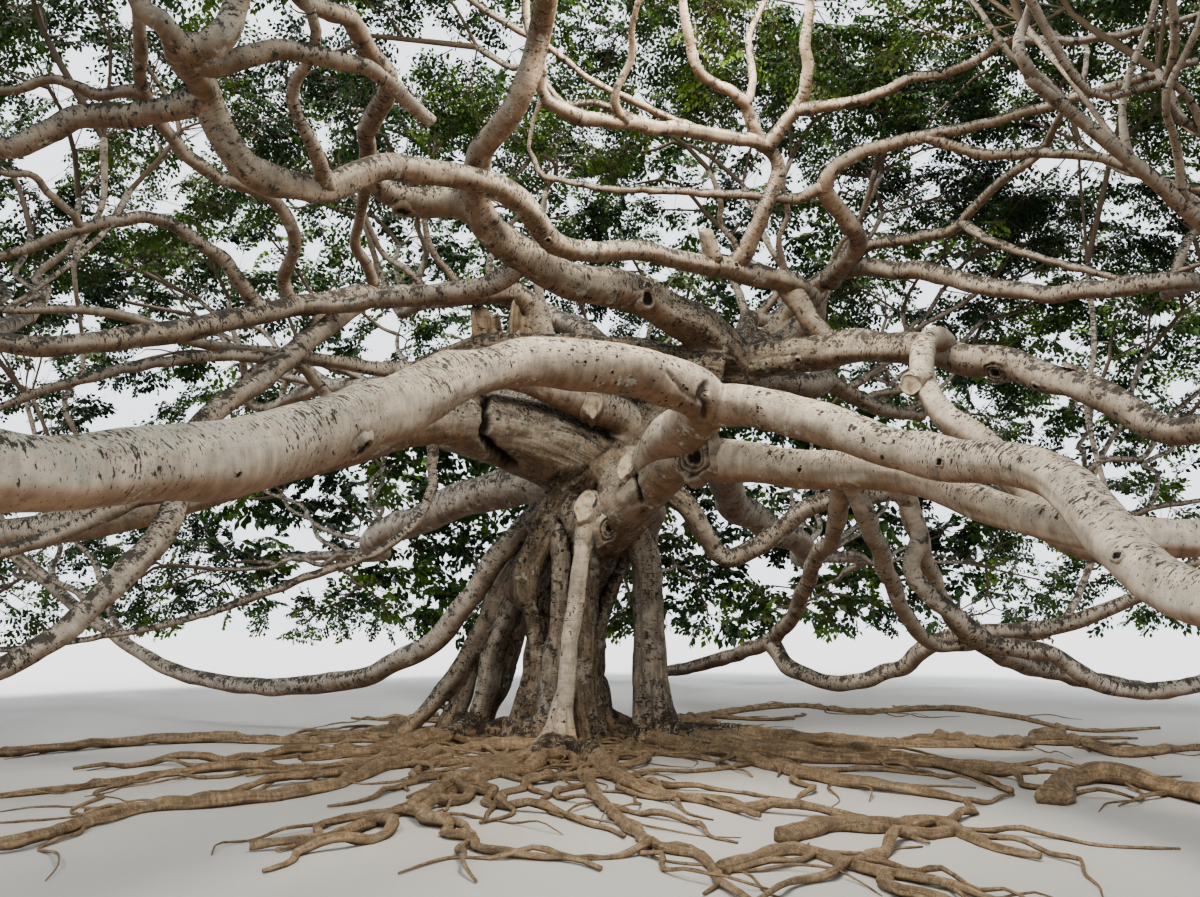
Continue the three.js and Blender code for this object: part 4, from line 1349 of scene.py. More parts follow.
@dataclass
class FusedWood:
    """Tubes that are fused to one body and smoothed, as limbs are that have grown together.

    voxel is the size of its faces in metres, passes how often its joins are smoothed, and furrow how deep
    its old bark is furrowed, in metres. Each vertex finds its own limb among the nearest neighbours, which
    are places on the limbs' centrelines, mark_step metres apart.
    """

    name: str
    tubes: list[Aged]
    voxel: float
    tears: tuple[Tear, ...] = ()
    passes: int = 3
    furrow: float = 0.07
    net: Net = Net(22, 0.1)
    mark_step: float = 0.06
    neighbours: int = 14

    def build(self, cut_at_ground: bool) -> bpy.types.Mesh:
        """Fuses the tubes.

        Args:
            cut_at_ground: whether the body ends in a flat cut at the ground.

        Returns:
            One closed mesh with the attributes limb_space, age and scar, which is shade painted into its
            grooves and tears.
        """
        rough = joined([tube_mesh("tube", aged.stretch, *self.net) for aged in self.tubes], "rough")
        holder = bpy.data.objects.new("rough", rough)
        bpy.context.scene.collection.objects.link(holder)
        remesh = holder.modifiers.new("fuse", "REMESH")
        remesh.mode = "VOXEL"
        remesh.voxel_size = self.voxel
        graph = bpy.context.evaluated_depsgraph_get()
        fused = bpy.data.meshes.new_from_object(holder.evaluated_get(graph))
        fused.name = self.name
        bpy.data.objects.remove(holder)
        bpy.data.meshes.remove(rough)
        shape = bmesh.new()
        shape.from_mesh(fused)
        for _ in range(self.passes):
            bmesh.ops.smooth_vert(
                shape, verts=shape.verts, factor=0.5, use_axis_x=True, use_axis_y=True, use_axis_z=True
            )
        if cut_at_ground:
            geometry = [*shape.verts, *shape.edges, *shape.faces]
            cut = bmesh.ops.bisect_plane(
                shape, geom=geometry, plane_co=(0, 0, 0.001), plane_no=(0, 0, 1), clear_inner=True
            )
            rim = [part for part in cut["geom_cut"] if isinstance(part, bmesh.types.BMEdge)]
            bmesh.ops.holes_fill(shape, edges=rim)
        bmesh.ops.recalc_face_normals(shape, faces=shape.faces)
        shape.to_mesh(fused)
        shape.free()
        for attribute in [a.name for a in fused.attributes if a.name in ("limb_space", "crowd")]:
            fused.attributes.remove(fused.attributes[attribute])
        self._mark(fused)
        finish_bark(fused)
        return fused

    def _mark(self, mesh: bpy.types.Mesh) -> None:
        """Gives each vertex its place on the nearest limb laid straight, its age, its folds and tears, and
        shade painted into them.

        Args:
            mesh: the fused body.
        """
        centres, frames_at, facts = [], [], []
        for aged in self.tubes:
            stretch = aged.stretch
            count = max(4, math.ceil((stretch.last - stretch.first) / self.mark_step))
            metres = np.linspace(stretch.first, stretch.last, count)
            _, normals, binormals = stretch.limb.frames(metres)
            centres.append(stretch.limb.places(metres))
            frames_at.append(np.stack([normals, binormals], axis=1))
            old = np.interp(metres, [stretch.first, stretch.last], [aged.old_at_start, aged.old_at_end])
            laid = metres + stretch.limb.seed * SEED_SHIFT
            crowd = np.full(count, lichen_and_shade_on(stretch.limb))
            facts.append(np.column_stack([stretch.limb.radius(metres), laid, old, crowd]))
        middles, axes, table = np.vstack(centres), np.vstack(frames_at), np.vstack(facts)
        tree = search_tree(middles)
        spots = coordinates(mesh)
        nearest = np.zeros(len(spots), dtype=int)
        for row, spot in enumerate(spots):
            found = tree.find_n(spot, self.neighbours)
            nearest[row] = min(found, key=lambda hit: hit[2] - table[hit[1], 0])[1]
        offset = spots - middles[nearest]
        across = np.einsum("nij,nj->ni", axes[nearest], offset)
        laid = np.column_stack([table[nearest, 1], across])
        add_limb_space(mesh, laid)
        age = table[nearest, 2]
        folds = ripple(np.column_stack([table[nearest, 1] * 0.5, across * 4.6]), Field.FOLDS)
        knobs = ripple(np.column_stack([table[nearest, 1] * 1.7, across * 6.5]), Field.KNOBS)
        depth = np.minimum(np.abs(folds) / 0.3, 1.0)
        lift = age * (self.furrow * (depth - 0.7) + self.furrow * 0.45 * knobs)
        # painted shade: old bark is darkened along the bottoms of its fold grooves
        scar = np.clip(age * 1.2 - 0.3, 0, 1) * np.clip(1 - np.abs(folds) / 0.06, 0, 1) * 0.6
        torn, dent = self._torn(spots)
        moved = spots + normals_of(mesh) * (lift - dent)[:, None]
        moved[:, 2] = np.where(spots[:, 2] < 0.02, spots[:, 2], np.maximum(moved[:, 2], 0.001))
        mesh.vertices.foreach_set("co", moved.ravel())
        mesh.update()
        # painted shade: the tears are darkened nearly to black
        scar = np.maximum(scar, smooth_step(torn * 1.4))
        for attribute, values in (("age", age), ("scar", scar), ("crowd", table[nearest, 3])):
            add_values(mesh, attribute, values)

    def _torn(self, spots: np.ndarray) -> tuple[np.ndarray, np.ndarray]:
        """How torn the bark is, and how dark the shade painted into each tear.

        Args:
            spots: places on the body, n by 3.

        Returns:
            How torn each place is, which sets how dark its painted shade is, from 0 to 1, and how deep it is
            pressed in there, in metres.
        """
        pixels, depths = seen_pixels(spots)
        torn, dent = np.zeros(len(spots)), np.zeros(len(spots))
        ragged = 1 + 0.6 * ripple(pixels / 9.0 @ np.eye(2, 3) + 0.5, Field.TORN_EDGES)
        for tear in self.tears:
            line = np.array(tear.line, dtype=float)
            nearest = np.full(len(spots), 1e9)
            for start, end in zip(line, line[1:]):
                way = end - start
                along = np.clip((pixels - start) @ way / float(way @ way), 0, 1)
                nearest = np.minimum(nearest, np.linalg.norm(pixels - start - along[:, None] * way, axis=1))
            within = (depths < tear.behind) * (depths > tear.before)
            share = smooth_step((ragged - nearest / tear.width) * 1.6) * within
            torn = np.maximum(torn, share * tear.dark)
            dent = np.maximum(dent, share * tear.depth)
        return torn, dent


class Strand(NamedTuple):
    """A root strand traced down the photograph, with the view depths at its ends and the age of its bark."""

    pixels: Pixels
    depths: Place2
    radii: tuple[float, ...]
    age: float


STRANDS = (
    Strand(
        ((566, 478), (552, 505), (541, 535), (528, 562), (525, 590), (533, 612), (536, 650), (532, 690),
         (522, 726), (505, 765)),
        (17.0, 16.45), (0.22, 0.2, 0.22, 0.3, 0.3, 0.17, 0.17, 0.19, 0.24, 0.22), 1.0,
    ),
    Strand(
        ((578, 500), (566, 530), (563, 570), (561, 610), (557, 650), (553, 690), (548, 726), (540, 768)),
        (16.9, 16.1), (0.2, 0.2, 0.18, 0.17, 0.18, 0.19, 0.22, 0.25), 0.55,
    ),
    Strand(
        ((600, 500), (590, 540), (586, 590), (583, 640), (581, 690), (584, 725), (590, 768)),
        (16.9, 16.4), (0.3, 0.24, 0.2, 0.19, 0.2, 0.22, 0.24), 1.0,
    ),
    Strand(
        ((640, 520), (622, 548), (607, 585), (595, 622), (590, 665), (592, 716), (602, 762)),
        (17.3, 16.8), (0.3, 0.26, 0.22, 0.19, 0.2, 0.24, 0.26), 1.0,
    ),
    Strand(
        ((556, 500), (542, 530), (519, 556), (498, 590), (478, 630), (461, 662), (441, 694), (414, 724),
         (380, 752)),
        (18.0, 18.0), (0.24, 0.2, 0.17, 0.16, 0.15, 0.16, 0.16, 0.15, 0.1), 0.15,
    ),
    Strand(
        ((562, 520), (545, 552), (526, 582), (508, 615), (494, 652), (484, 692), (478, 726), (482, 760)),
        (17.8, 17.8), (0.2, 0.18, 0.17, 0.17, 0.17, 0.17, 0.2, 0.22), 0.25,
    ),
    Strand(
        ((560, 515), (536, 558), (512, 597), (489, 640), (468, 680), (454, 716), (438, 748)),
        (18.1, 18.1), (0.2, 0.18, 0.15, 0.14, 0.16, 0.2, 0.2), 0.45,
    ),
)


class Pillar(NamedTuple):
    """A pillar root: how old its bark looks, and a route with radii for each of its strands."""

    name: str
    age: float
    strands: tuple[tuple[tuple[Place, ...], tuple[float, ...]], ...]


PILLARS = (
    Pillar(
        "left_pillar", 0.9,
        (
            (((-2.1, 1.15, -0.2), (-1.8, 1.0, 0.5), (-1.25, 0.75, 2), (-0.8, 0.4, 3.3), (-0.3, 0.1, 4.1)),
             (0.3, 0.2, 0.16, 0.18, 0.22)),
        ),
    ),
    Pillar(
        "front_pillar", 0.22,
        (
            (((-0.45, -1.55, -0.2), (-0.39, -1.5, 0.5), (-0.23, -1.4, 2), (-0.08, -1.35, 3.2),
              (0.0, -1.3, 3.7)),
             (0.24, 0.155, 0.14, 0.135, 0.15)),
            (((-0.95, -2.0, -0.1), (-0.62, -1.7, 0.22), (-0.42, -1.46, 0.85)), (0.15, 0.13, 0.1)),
            (((-0.05, -2.05, -0.1), (-0.26, -1.7, 0.22), (-0.34, -1.46, 0.85)), (0.14, 0.12, 0.09)),
            (((-0.55, -2.2, -0.1), (-0.45, -1.8, 0.2), (-0.38, -1.5, 0.8)), (0.15, 0.12, 0.09)),
        ),
    ),
    Pillar(
        "right_pillar", 0.5,
        (
            (((1.1, -0.35, -0.2), (1.05, -0.35, 0.5), (1, -0.4, 2), (0.95, -0.5, 3.2), (0.55, -0.5, 4.2)),
             (0.46, 0.32, 0.25, 0.24, 0.28)),
            (((0.78, -0.6, -0.2), (0.86, -0.52, 0.5), (0.86, -0.5, 1.6), (0.88, -0.55, 2.9)),
             (0.24, 0.15, 0.12, 0.12)),
            (((1.42, -0.45, -0.2), (1.27, -0.42, 0.5), (1.16, -0.45, 1.7), (1.08, -0.5, 3.0)),
             (0.26, 0.15, 0.12, 0.13)),
            (((1.75, -0.95, -0.05), (1.35, -0.62, 0.3), (1.14, -0.5, 0.95)), (0.2, 0.17, 0.12)),
            (((1.95, -0.3, -0.05), (1.45, -0.35, 0.28), (1.2, -0.38, 0.9)), (0.18, 0.15, 0.12)),
            (((1.2, -0.05, -0.2), (1.12, -0.15, 0.6), (1.05, -0.25, 1.8), (1.0, -0.35, 3.1)),
             (0.26, 0.16, 0.14, 0.13)),
        ),
    ),
)


@dataclass
class TrunkCluster:
    """The trunk with its pillar roots and the feet of the boughs, fused to one body."""

    barks: Barks
    foot: tuple[float, float] = (-0.38, 0.12)
    strand_count: int = 13
    strand_seed: int = 61
    strand_foot: tuple[Place2, ...] = ((0.0, 0.2), (0.07, 0.0))
    strand_top: tuple[Place2, ...] = ((0.22, 0.6), (0.5, 0.5), (0.8, 0.6), (1.0, 0.5))
    lean_heights: tuple[float, ...] = (0.0, 1.7, 3.0, 4.3)
    leans: tuple[float, ...] = (-0.38, -0.3, -0.1, 0.3)
    rib_turns: tuple[float, ...] = (20.0, 100.0, 170.0, 235.0)
    voxel: float = 0.05
    # Cracks and gaps between the strands, pressed in and darkened with painted shade
    tears: tuple[Tear, ...] = (
        Tear(((484, 400), (488, 422), (482, 438), (497, 452), (512, 468), (520, 478)), 7.0, 0.16, 0.0, 16.6),
        Tear(((632, 466), (636, 486), (640, 500), (643, 512)), 3.2, 0.05, 0.0, 16.4, 0.7),
        Tear(((558, 520), (570, 538), (574, 560), (568, 600), (572, 660)), 2.8, 0.09, 16.5, 17.2),
        Tear(((541, 600), (545, 640), (543, 690)), 2.6, 0.08, 16.5, 17.2),
        Tear(((622, 560), (604, 590), (597, 622)), 2.6, 0.08, 16.5, 17.4),
    )

    def column(self) -> list[Aged]:
        """The main column, the leader that leans to the upper head, and a back stem."""
        column = Limb(
            "column",
            [(-0.5, 0.12, -0.3), (-0.5, 0.1, 0.7), (-0.42, 0.05, 1.7), (-0.2, 0, 3), (0.25, 0, 4.3),
             (0.75, 0, 5.3)],
            [0.66, 0.54, 0.48, 0.54, 0.76, 0.5],
            Seed.COLUMN,
        )
        leader = Limb(
            "leader",
            [(0.3, 0, 4.1), (0.95, -0.05, 5.5), (1.8, -0.15, 6.35), (2.8, -0.35, 6.55)],
            [0.82, 0.72, 0.58, 0.43],
            Seed.LEADER,
        )
        stem = Limb(
            "back_stem",
            [(-0.1, 0.95, -0.3), (0.05, 0.65, 1.9), (0.35, 0.2, 4)],
            [0.42, 0.27, 0.3],
            Seed.BACK_STEM,
        )
        return [
            Aged(whole(column), 1.0, 0.75),
            Aged(Stretch(leader, 0, leader.length, leaves=True), 0.75, 0.15),
            Aged(whole(stem), 1.0, 0.9),
        ]

    def strands(self) -> list[Aged]:
        """Root strands that have grown down the column and spread at its foot, the seen ones first.

        Returns:
            Their stretches.
        """
        made = []
        for index, strand in enumerate(STRANDS):
            depths = np.linspace(*strand.depths, len(strand.pixels))
            route = [seen_place(*seen) for seen in zip(strand.pixels, depths)]
            limb = Limb(f"seen_{index}", route, strand.radii, Seed.SEEN_STRANDS + index)
            made.append(Aged(whole(limb, Relief(0.14, 0.1, 0.02)), strand.age, strand.age))
        roll = Dice(self.strand_seed)
        for k in range(self.strand_count):
            turn = 2 * math.pi * (k + (roll() - 0.5) * 0.6) / self.strand_count
            twist = (roll() - 0.5) * 0.9
            spread = 0.72 + roll() * 0.26
            girth = 0.1 + roll() ** 2 * 0.14
            top = 3.0 + roll() * 1.3
            route = []
            flare = [(share, spread + wide) for share, wide in self.strand_foot]
            for share, reach in (*flare, *self.strand_top):
                height = -0.2 + (top + 0.2) * share
                lean = np.interp(height, self.lean_heights, self.leans)
                wander = (roll() - 0.5) * 0.14
                angle = turn + twist * share + wander
                route.append((lean + reach * math.cos(angle), 0.06 + reach * math.sin(angle), height))
            if math.sin(turn) < -0.3:
                continue
            radii = [girth * 1.25, girth, girth * 0.9, girth * 1.15, girth * 0.8]
            limb = Limb(f"strand_{k}", route, radii, Seed.STRANDS + k)
            made.append(Aged(whole(limb, Relief(0.12, 0.06, 0.02)), 1.0, 0.85))
        return made

    def ribs(self) -> list[Aged]:
        """Low ribs of root flare."""
        made = []
        for k, turn in enumerate(self.rib_turns):
            x, y = math.cos(math.radians(turn)), math.sin(math.radians(turn))
            spots = ((0.3, 0.9), (0.75, 0.3), (1.75, 0.0))
            route = [(self.foot[0] + reach * x, self.foot[1] + reach * y, height) for reach, height in spots]
            limb = Limb(f"rib_{k}", route, [0.24, 0.2, 0.1], Seed.RIBS + k)
            made.append(Aged(whole(limb), 1.0, 1.0))
        return made

    def pillars(self) -> list[Aged]:
        """The pillar roots: a leaning one on the left, a slender one in front, a stout one on the right."""
        made = []
        for pillar in PILLARS:
            for route, radii in pillar.strands:
                limb = Limb(pillar.name, route, radii, Seed.PILLARS + len(made))
                made.append(Aged(whole(limb, Relief(0.09, 0.08, 0.02)), pillar.age, pillar.age * 0.9))
        return made

    def old_mass(self) -> list[Aged]:
        """Old brown wood behind the great limb, with a broken stump, and the head of the front pillar."""
        ridge = LIMBS["old_ridge"]
        head = LIMBS["pillar_head"]
        return [
            Aged(whole(ridge, Relief(0.2, 0.1, 0.03)), 0.8, 1.0),
            Aged(whole(head, Relief(0.12, 0.08, 0.02)), 0.3, 0.45),
        ]

    def feet(self) -> list[Aged]:
        """The feet of the boughs that rise from the trunk, and of the roots that leave it."""
        made = []
        for limb in ROOTS.values():
            stretch = Stretch(limb, 0.0, ROOT_FOOT + HANDOVER, leaves=True, relief=RootMat.stout_relief)
            made.append(Aged(stretch, 0.9, 0.9))
        for bough in BOUGHS:
            if bough.fused:
                limb = LIMBS[bough.name]
                stretch = Stretch(limb, 0.0, bough.fused + HANDOVER, leaves=True)
                made.append(Aged(stretch, 0.8, 0.0))
        return made

    def build(self) -> None:
        """Makes the cluster and dresses it."""
        standing = [*self.column(), *self.strands(), *self.ribs(), *self.pillars()]
        wood = FusedWood("trunk_cluster", [*standing, *self.old_mass(), *self.feet()], self.voxel, self.tears)
        mesh = wood.build(cut_at_ground=True)
        nodes = ("trunk", "prop_root_left", "prop_root_front", "prop_root_right")
        add_piece(mesh, "trunk_cluster", [self.barks.fused], "old_bark", *nodes)


@dataclass
class FrontFork:
    """The great forked limb over the front, fused where its stem splits to left and right."""

    barks: Barks
    stem_start: float = 2.2
    left_end: float = 9.0
    right_end: float = 3.4
    voxel: float = 0.034
    # Cracks in the fork, pressed in and darkened with painted shade
    tears: tuple[Tear, ...] = (
        Tear(((706, 384), (701, 396), (707, 406), (703, 418)), 5.0, 0.07, 0.0, 14.4, 0.5),
        Tear(((668, 372), (684, 392), (698, 402)), 3.0, 0.03, 0.0, 14.4, 0.3),
    )

    def build(self) -> None:
        """Makes the fork and dresses it."""
        left, right = LIMBS["great_left"], LIMBS["great_right"]
        start, end = self.stem_start - HANDOVER, self.left_end + HANDOVER
        tubes = [
            Aged(Stretch(left, start, end, enters=True, leaves=True), 0, 0),
            Aged(Stretch(right, 0.0, self.right_end + HANDOVER, leaves=True), 0, 0),
        ]
        mesh = FusedWood("great_fork", tubes, self.voxel, self.tears).build(cut_at_ground=False)
        add_piece(mesh, "great_fork", [self.barks.fused], "bark", "bough_front_stem",
                  "bough_great_left_inner")


class ScarKind(Enum):
    """What a limb has left where another limb was lost."""

    KNOT = "ringed hollow"
    WHORL = "bark rolled in round an old wound"
    CUT = "sawn stub"
    STUMP = "broken hollow stump"


class Scar(NamedTuple):
    """A scar at a pixel of the photograph, on a limb's seen side.

    size is its radius and reach the length of its stub, in metres, lean turns it off the limb's surface, and
    tall is how many times higher it is than wide.
    """

    kind: ScarKind
    limb: str
    pixel: Place2
    size: float
    reach: float = 0.0
    lean: Place = (0.0, 0.0, 0.0)
    tall: float = 1.0


SCARS = (
    Scar(ScarKind.KNOT, "great_left", (360, 446), 0.13),
    Scar(ScarKind.KNOT, "great_left", (585, 362), 0.035),
    Scar(ScarKind.KNOT, "great_left", (612, 372), 0.03),
    Scar(ScarKind.KNOT, "great_left", (238, 474), 0.035),
    Scar(ScarKind.KNOT, "great_right", (940, 462), 0.06),
    Scar(ScarKind.KNOT, "great_right", (1118, 556), 0.06),
    Scar(ScarKind.WHORL, "knotted", (697, 457), 0.29),
    Scar(ScarKind.KNOT, "knotted", (800, 470), 0.05),
    Scar(ScarKind.KNOT, "upper_left", (646, 298), 0.17),
    Scar(ScarKind.KNOT, "upper_left", (405, 180), 0.05),
    Scar(ScarKind.KNOT, "winding", (548, 240), 0.05),
    Scar(ScarKind.KNOT, "winding", (736, 265), 0.06),
    Scar(ScarKind.WHORL, "right_upper", (996, 372), 0.16),
    Scar(ScarKind.WHORL, "right_upper", (1076, 357), 0.1),
    Scar(ScarKind.KNOT, "right_upper", (1036, 386), 0.06),
    Scar(ScarKind.KNOT, "right_upper", (798, 360), 0.06),
    Scar(ScarKind.KNOT, "swag", (254, 186), 0.05),
    Scar(ScarKind.CUT, "knotted", (632, 470), 0.12, 0.18, (-0.5, -0.9, 0.3), 1.9),
    Scar(ScarKind.CUT, "brown_left", (592, 407), 0.15, 0.24, (-0.2, -1.8, 0.4), 1.5),
    Scar(ScarKind.CUT, "pillar_head", (586, 507), 0.15, 0.06, (-0.3, -0.3, 0.35), 1.9),
    Scar(ScarKind.WHORL, "pillar_head", (609, 527), 0.16, 0.0, (0.7, -0.6, -0.2), 1.5),
    Scar(ScarKind.CUT, "winding", (712, 250), 0.1, 0.4, (-0.9, -0.4, 0.9)),
    Scar(ScarKind.CUT, "climber", (916, 384), 0.15, 0.12, (-0.5, -0.8, -0.6)),
    Scar(ScarKind.KNOT, "elbow", (404, 210), 0.12, 0.0, (0.0, 0.0, -0.5), 1.3),
    Scar(ScarKind.STUMP, "old_ridge", (489, 342), 0.27, 1.5, (-0.25, 0.2, 3.0)),
    Scar(ScarKind.STUMP, "old_ridge", (518, 342), 0.21, 1.9, (0.3, 0.2, 3.0)),
)


class ScarShape(NamedTuple):
    """How a kind of scar looks.

    outline runs from its rim to its middle, as distances from its axis and heights, in shares of its size.
    hollows are where rings of painted shade lie in its valleys, in the same shares, with all inside the first
    painted dark, jags is how ragged it is, and age how old its bark.
    """

    outline: tuple[Place2, ...]
    hollows: tuple[float, ...]
    jags: float
    age: float


SCAR_SHAPES = {
    ScarKind.KNOT: ScarShape(
        ((1.25, -0.25), (1.08, 0.1), (0.92, 0.3), (0.76, 0.34), (0.66, 0.2), (0.6, 0.26), (0.52, 0.16),
         (0.44, 0.09), (0.0, 0.07)),
        (0.56,), 3.5, 0.25,
    ),
    ScarKind.WHORL: ScarShape(
        ((1.5, -0.25), (1.25, 0.1), (1.1, 0.24), (1.02, 0.16), (0.95, 0.0), (0.88, 0.14), (0.8, 0.26),
         (0.72, 0.2), (0.64, 0.04), (0.56, 0.16), (0.48, 0.18), (0.38, 0.08), (0.22, 0.06), (0.0, 0.05)),
        (0.36, 0.66, 0.95), 3.5, 0.6,
    ),
    ScarKind.CUT: ScarShape((), (), 3.5, 0.25),
    ScarKind.STUMP: ScarShape(
        ((1.3, -0.9), (1.12, 0.0), (1.02, 0.5), (1.0, 1.0), (0.98, 1.5), (0.92, 1.72), (0.86, 1.66),
         (0.8, 1.2), (0.74, 0.7), (0.64, 0.3), (0.4, 0.12), (0.0, 0.05)),
        (0.35,), 2.1, 1.0,
    ),
}


@dataclass
class ScarSet:
    """Knots, sawn stubs and broken stumps on the limbs, with pale wood, and shade painted into their hollows.
    """

    barks: Barks
    sides: int = 32
    trees: list[BVHTree] = field(default_factory=list)

    def surface(self, pixel: Place2, near: np.ndarray, reach: float) -> tuple[np.ndarray, np.ndarray] | None:
        """Where a pixel of the photograph meets the wood.

        Args:
            pixel: the pixel.
            near: the place close to which the wood is looked for.
            reach: how close, in metres.

        Returns:
            The place nearest to the camera and the way the wood faces there, or None where there is no wood.
        """
        eye = Vector(CAMERA_PLACE)
        aim = (Vector(seen_place(pixel, 1.0)) - eye).normalized()
        hits = [tree.ray_cast(eye, aim) for tree in self.trees]
        found = [(np.array(hit[0]), np.array(hit[1])) for hit in hits if hit[0] is not None]
        close = [hit for hit in found if np.linalg.norm(hit[0] - near) < reach]
        return min(close, key=lambda hit: float(np.linalg.norm(hit[0] - np.array(eye))), default=None)

    def seat(self, scar: Scar) -> tuple[np.ndarray, np.ndarray, float]:
        """Where a scar sits.

        Args:
            scar: which one.

        Returns:
            Its place on the limb's surface, the way it faces, and the limb's radius.
        """
        limb = LIMBS[scar.limb]
        metres = np.linspace(0.0, limb.length, 400)
        line = limb.places(metres)
        pixels, depths = seen_pixels(line)
        best = int(np.argmin(np.linalg.norm(pixels - np.array(scar.pixel), axis=1)))
        radius = float(limb.radius(metres[best]))
        offset = (np.array(scar.pixel) - pixels[best]) * depths[best] / PHOTO_FOCUS / radius
        offset = offset * min(1.0, 0.92 / max(1e-6, float(np.linalg.norm(offset))))
        facing = math.sqrt(max(0.0, 1 - float(offset @ offset)))
        normal = np.array([offset[0], 0.0, 0.0]) - VIEW_UP * offset[1] - VIEW_AHEAD * facing
        heading = limb.frames(np.array([metres[max(0, best - 1)], metres[best] + 0.01]))[0][0]
        normal = unit(normal - heading * float(normal @ heading))
        if scar.kind is ScarKind.STUMP:
            return line[best], -VIEW_AHEAD, radius
        met = self.surface(scar.pixel, line[best], radius * 3 + 0.3)
        if met is None:
            return line[best] + normal * radius * 0.97, normal, radius
        return met[0], unit(normal + met[1]), radius

    def shaped(self, scar: Scar, seed: int) -> bpy.types.Mesh:
        """A scar's mesh, turned to where it sits.

        Args:
            scar: which one.
            seed: for its unevenness.

        Returns:
            The mesh, with material 0 bark and 1 pale wood.
        """
        place, normal, radius = self.seat(scar)
        axis = unit(normal + np.array(scar.lean))
        shape = bmesh.new()
        look = SCAR_SHAPES[scar.kind]
        if look.outline:
            stops = [(reach * scar.size, 0.0, high * scar.size) for reach, high in look.outline]
            spine = [shape.verts.new(stop) for stop in stops]
            edges = [shape.edges.new(pair) for pair in zip(spine, spine[1:])]
            turn = {"axis": (0, 0, 1), "cent": (0, 0, 0), "angle": 2 * math.pi}
            bmesh.ops.spin(shape, geom=[*spine, *edges], steps=self.sides, use_merge=True, **turn)
            bmesh.ops.remove_doubles(shape, verts=shape.verts, dist=0.0005)
        else:
            self._stub(shape, scar, radius)
        bmesh.ops.recalc_face_normals(shape, faces=shape.faces)
        aside = (0.3, 0.2, 1.0) if abs(axis[2]) < 0.9 else (1.0, 0.0, 0.0)
        side = unit(np.cross(axis, np.array(aside)))
        turned = np.column_stack([side, np.cross(axis, side), axis])
        mesh = bpy.data.meshes.new("scar")
        shape.to_mesh(mesh)
        shape.free()
        spots = coordinates(mesh)
        reach = np.linalg.norm(spots[:, :2], axis=1)
        around = np.arctan2(spots[:, 1], spots[:, 0])
        ring = np.column_stack([np.cos(around), np.sin(around)])
        share = reach / scar.size
        wobble = ripple(np.column_stack([ring * 1.3, share]) * 1.6 + seed, Field.SCAR_OUTLINE)
        rough = ripple(np.column_stack([ring * look.jags, share * 3]) + seed, Field.SCAR_GRAIN)
        if scar.kind is ScarKind.STUMP:
            back = 0.5 + 0.5 * (ring @ turned[1, :2])
            torn = np.clip(0.12 + 0.95 * smooth_step(back * 1.7 - 0.55) + 0.4 * rough, 0.1, 1.15)
            spots[:, 2] = np.where(spots[:, 2] > 0, spots[:, 2] * torn * scar.reach, spots[:, 2])
        spots[:, :2] *= (1 + 0.22 * wobble)[:, None] * [1.0, scar.tall]
        if look.hollows:
            spots[:, 2] += scar.size * 0.09 * rough * (share < 1.2)
        mesh.vertices.foreach_set("co", (spots @ turned.T + place).ravel())
        # painted shade: rings of near black along the valleys of the outline, and all dark inside the first
        dark = np.zeros(len(spots))
        for hollow in look.hollows:
            band = np.clip(1.2 - np.abs(share - hollow) / 0.09, 0, 1)
            dark = np.maximum(dark, band * np.clip(0.8 + rough * 1.2, 0, 1))
        dark = np.where(share < (look.hollows[0] if look.hollows else 0.0), 1.0, dark)
        add_values(mesh, "scar", dark)
        add_values(mesh, "age", np.full(len(spots), look.age))
        add_values(mesh, "crowd", np.full(len(spots), 0.3))
        add_limb_space(mesh, np.column_stack([reach + spots[:, 2] * 0.6 + seed, ring * 0.1]))
        mesh.update()
        return mesh

    def _stub(self, shape: bmesh.types.BMesh, scar: Scar, radius: float) -> None:
        """Shapes a stub along z: a tapering tube whose end is sawn off, with its pale face let in.

        Args:
            shape: what it is added to.
            scar: which one.
            radius: the limb's radius.
        """
        sunk = min(radius * 0.7, 0.2)
        span = sunk + scar.reach
        made = bmesh.ops.create_cone(
            shape, cap_ends=True, segments=self.sides, radius1=scar.size * 1.3, radius2=scar.size, depth=span
        )
        bmesh.ops.translate(shape, verts=made["verts"], vec=(0, 0, span / 2 - sunk))
        lengthwise = [e for e in shape.edges if abs(e.verts[0].co.z - e.verts[1].co.z) > span / 2]
        bmesh.ops.subdivide_edges(shape, edges=lengthwise, cuts=5, use_grid_fill=True)
        top = max(shape.faces, key=lambda face: face.calc_center_median().z)
        bmesh.ops.inset_region(shape, faces=[top], thickness=scar.size * 0.12, depth=scar.size * 0.05)
        bmesh.ops.inset_region(shape, faces=[top], thickness=scar.size * 0.06, depth=-scar.size * 0.09)
        bmesh.ops.inset_region(shape, faces=[top], thickness=scar.size * 0.3, depth=0.0)
        for face in shape.faces:
            middle = face.calc_center_median()
            if middle.z > 0 and middle.xy.length < scar.size * 0.84 and abs(face.normal.z) > 0.5:
                face.material_index = 1
        for vertex in shape.verts:
            if vertex.co.z > scar.reach * 0.9:
                vertex.co.z += 0.3 * vertex.co.x

    def build(self) -> None:
        """Makes the scars as one piece, on the wood that is there by now."""
        graph = bpy.context.evaluated_depsgraph_get()
        names = ("trunk_cluster", "great_fork", "limb_")
        wood = [piece for piece in bpy.context.scene.objects if piece.name.startswith(names)]
        self.trees = [BVHTree.FromObject(piece, graph) for piece in wood]
        meshes = [self.shaped(scar, Seed.SCARS + k) for k, scar in enumerate(SCARS)]
        mesh = joined(meshes, "scars")
        finish_bark(mesh)
        add_piece(mesh, "scars", [self.barks.fused, self.barks.wood], "bark")


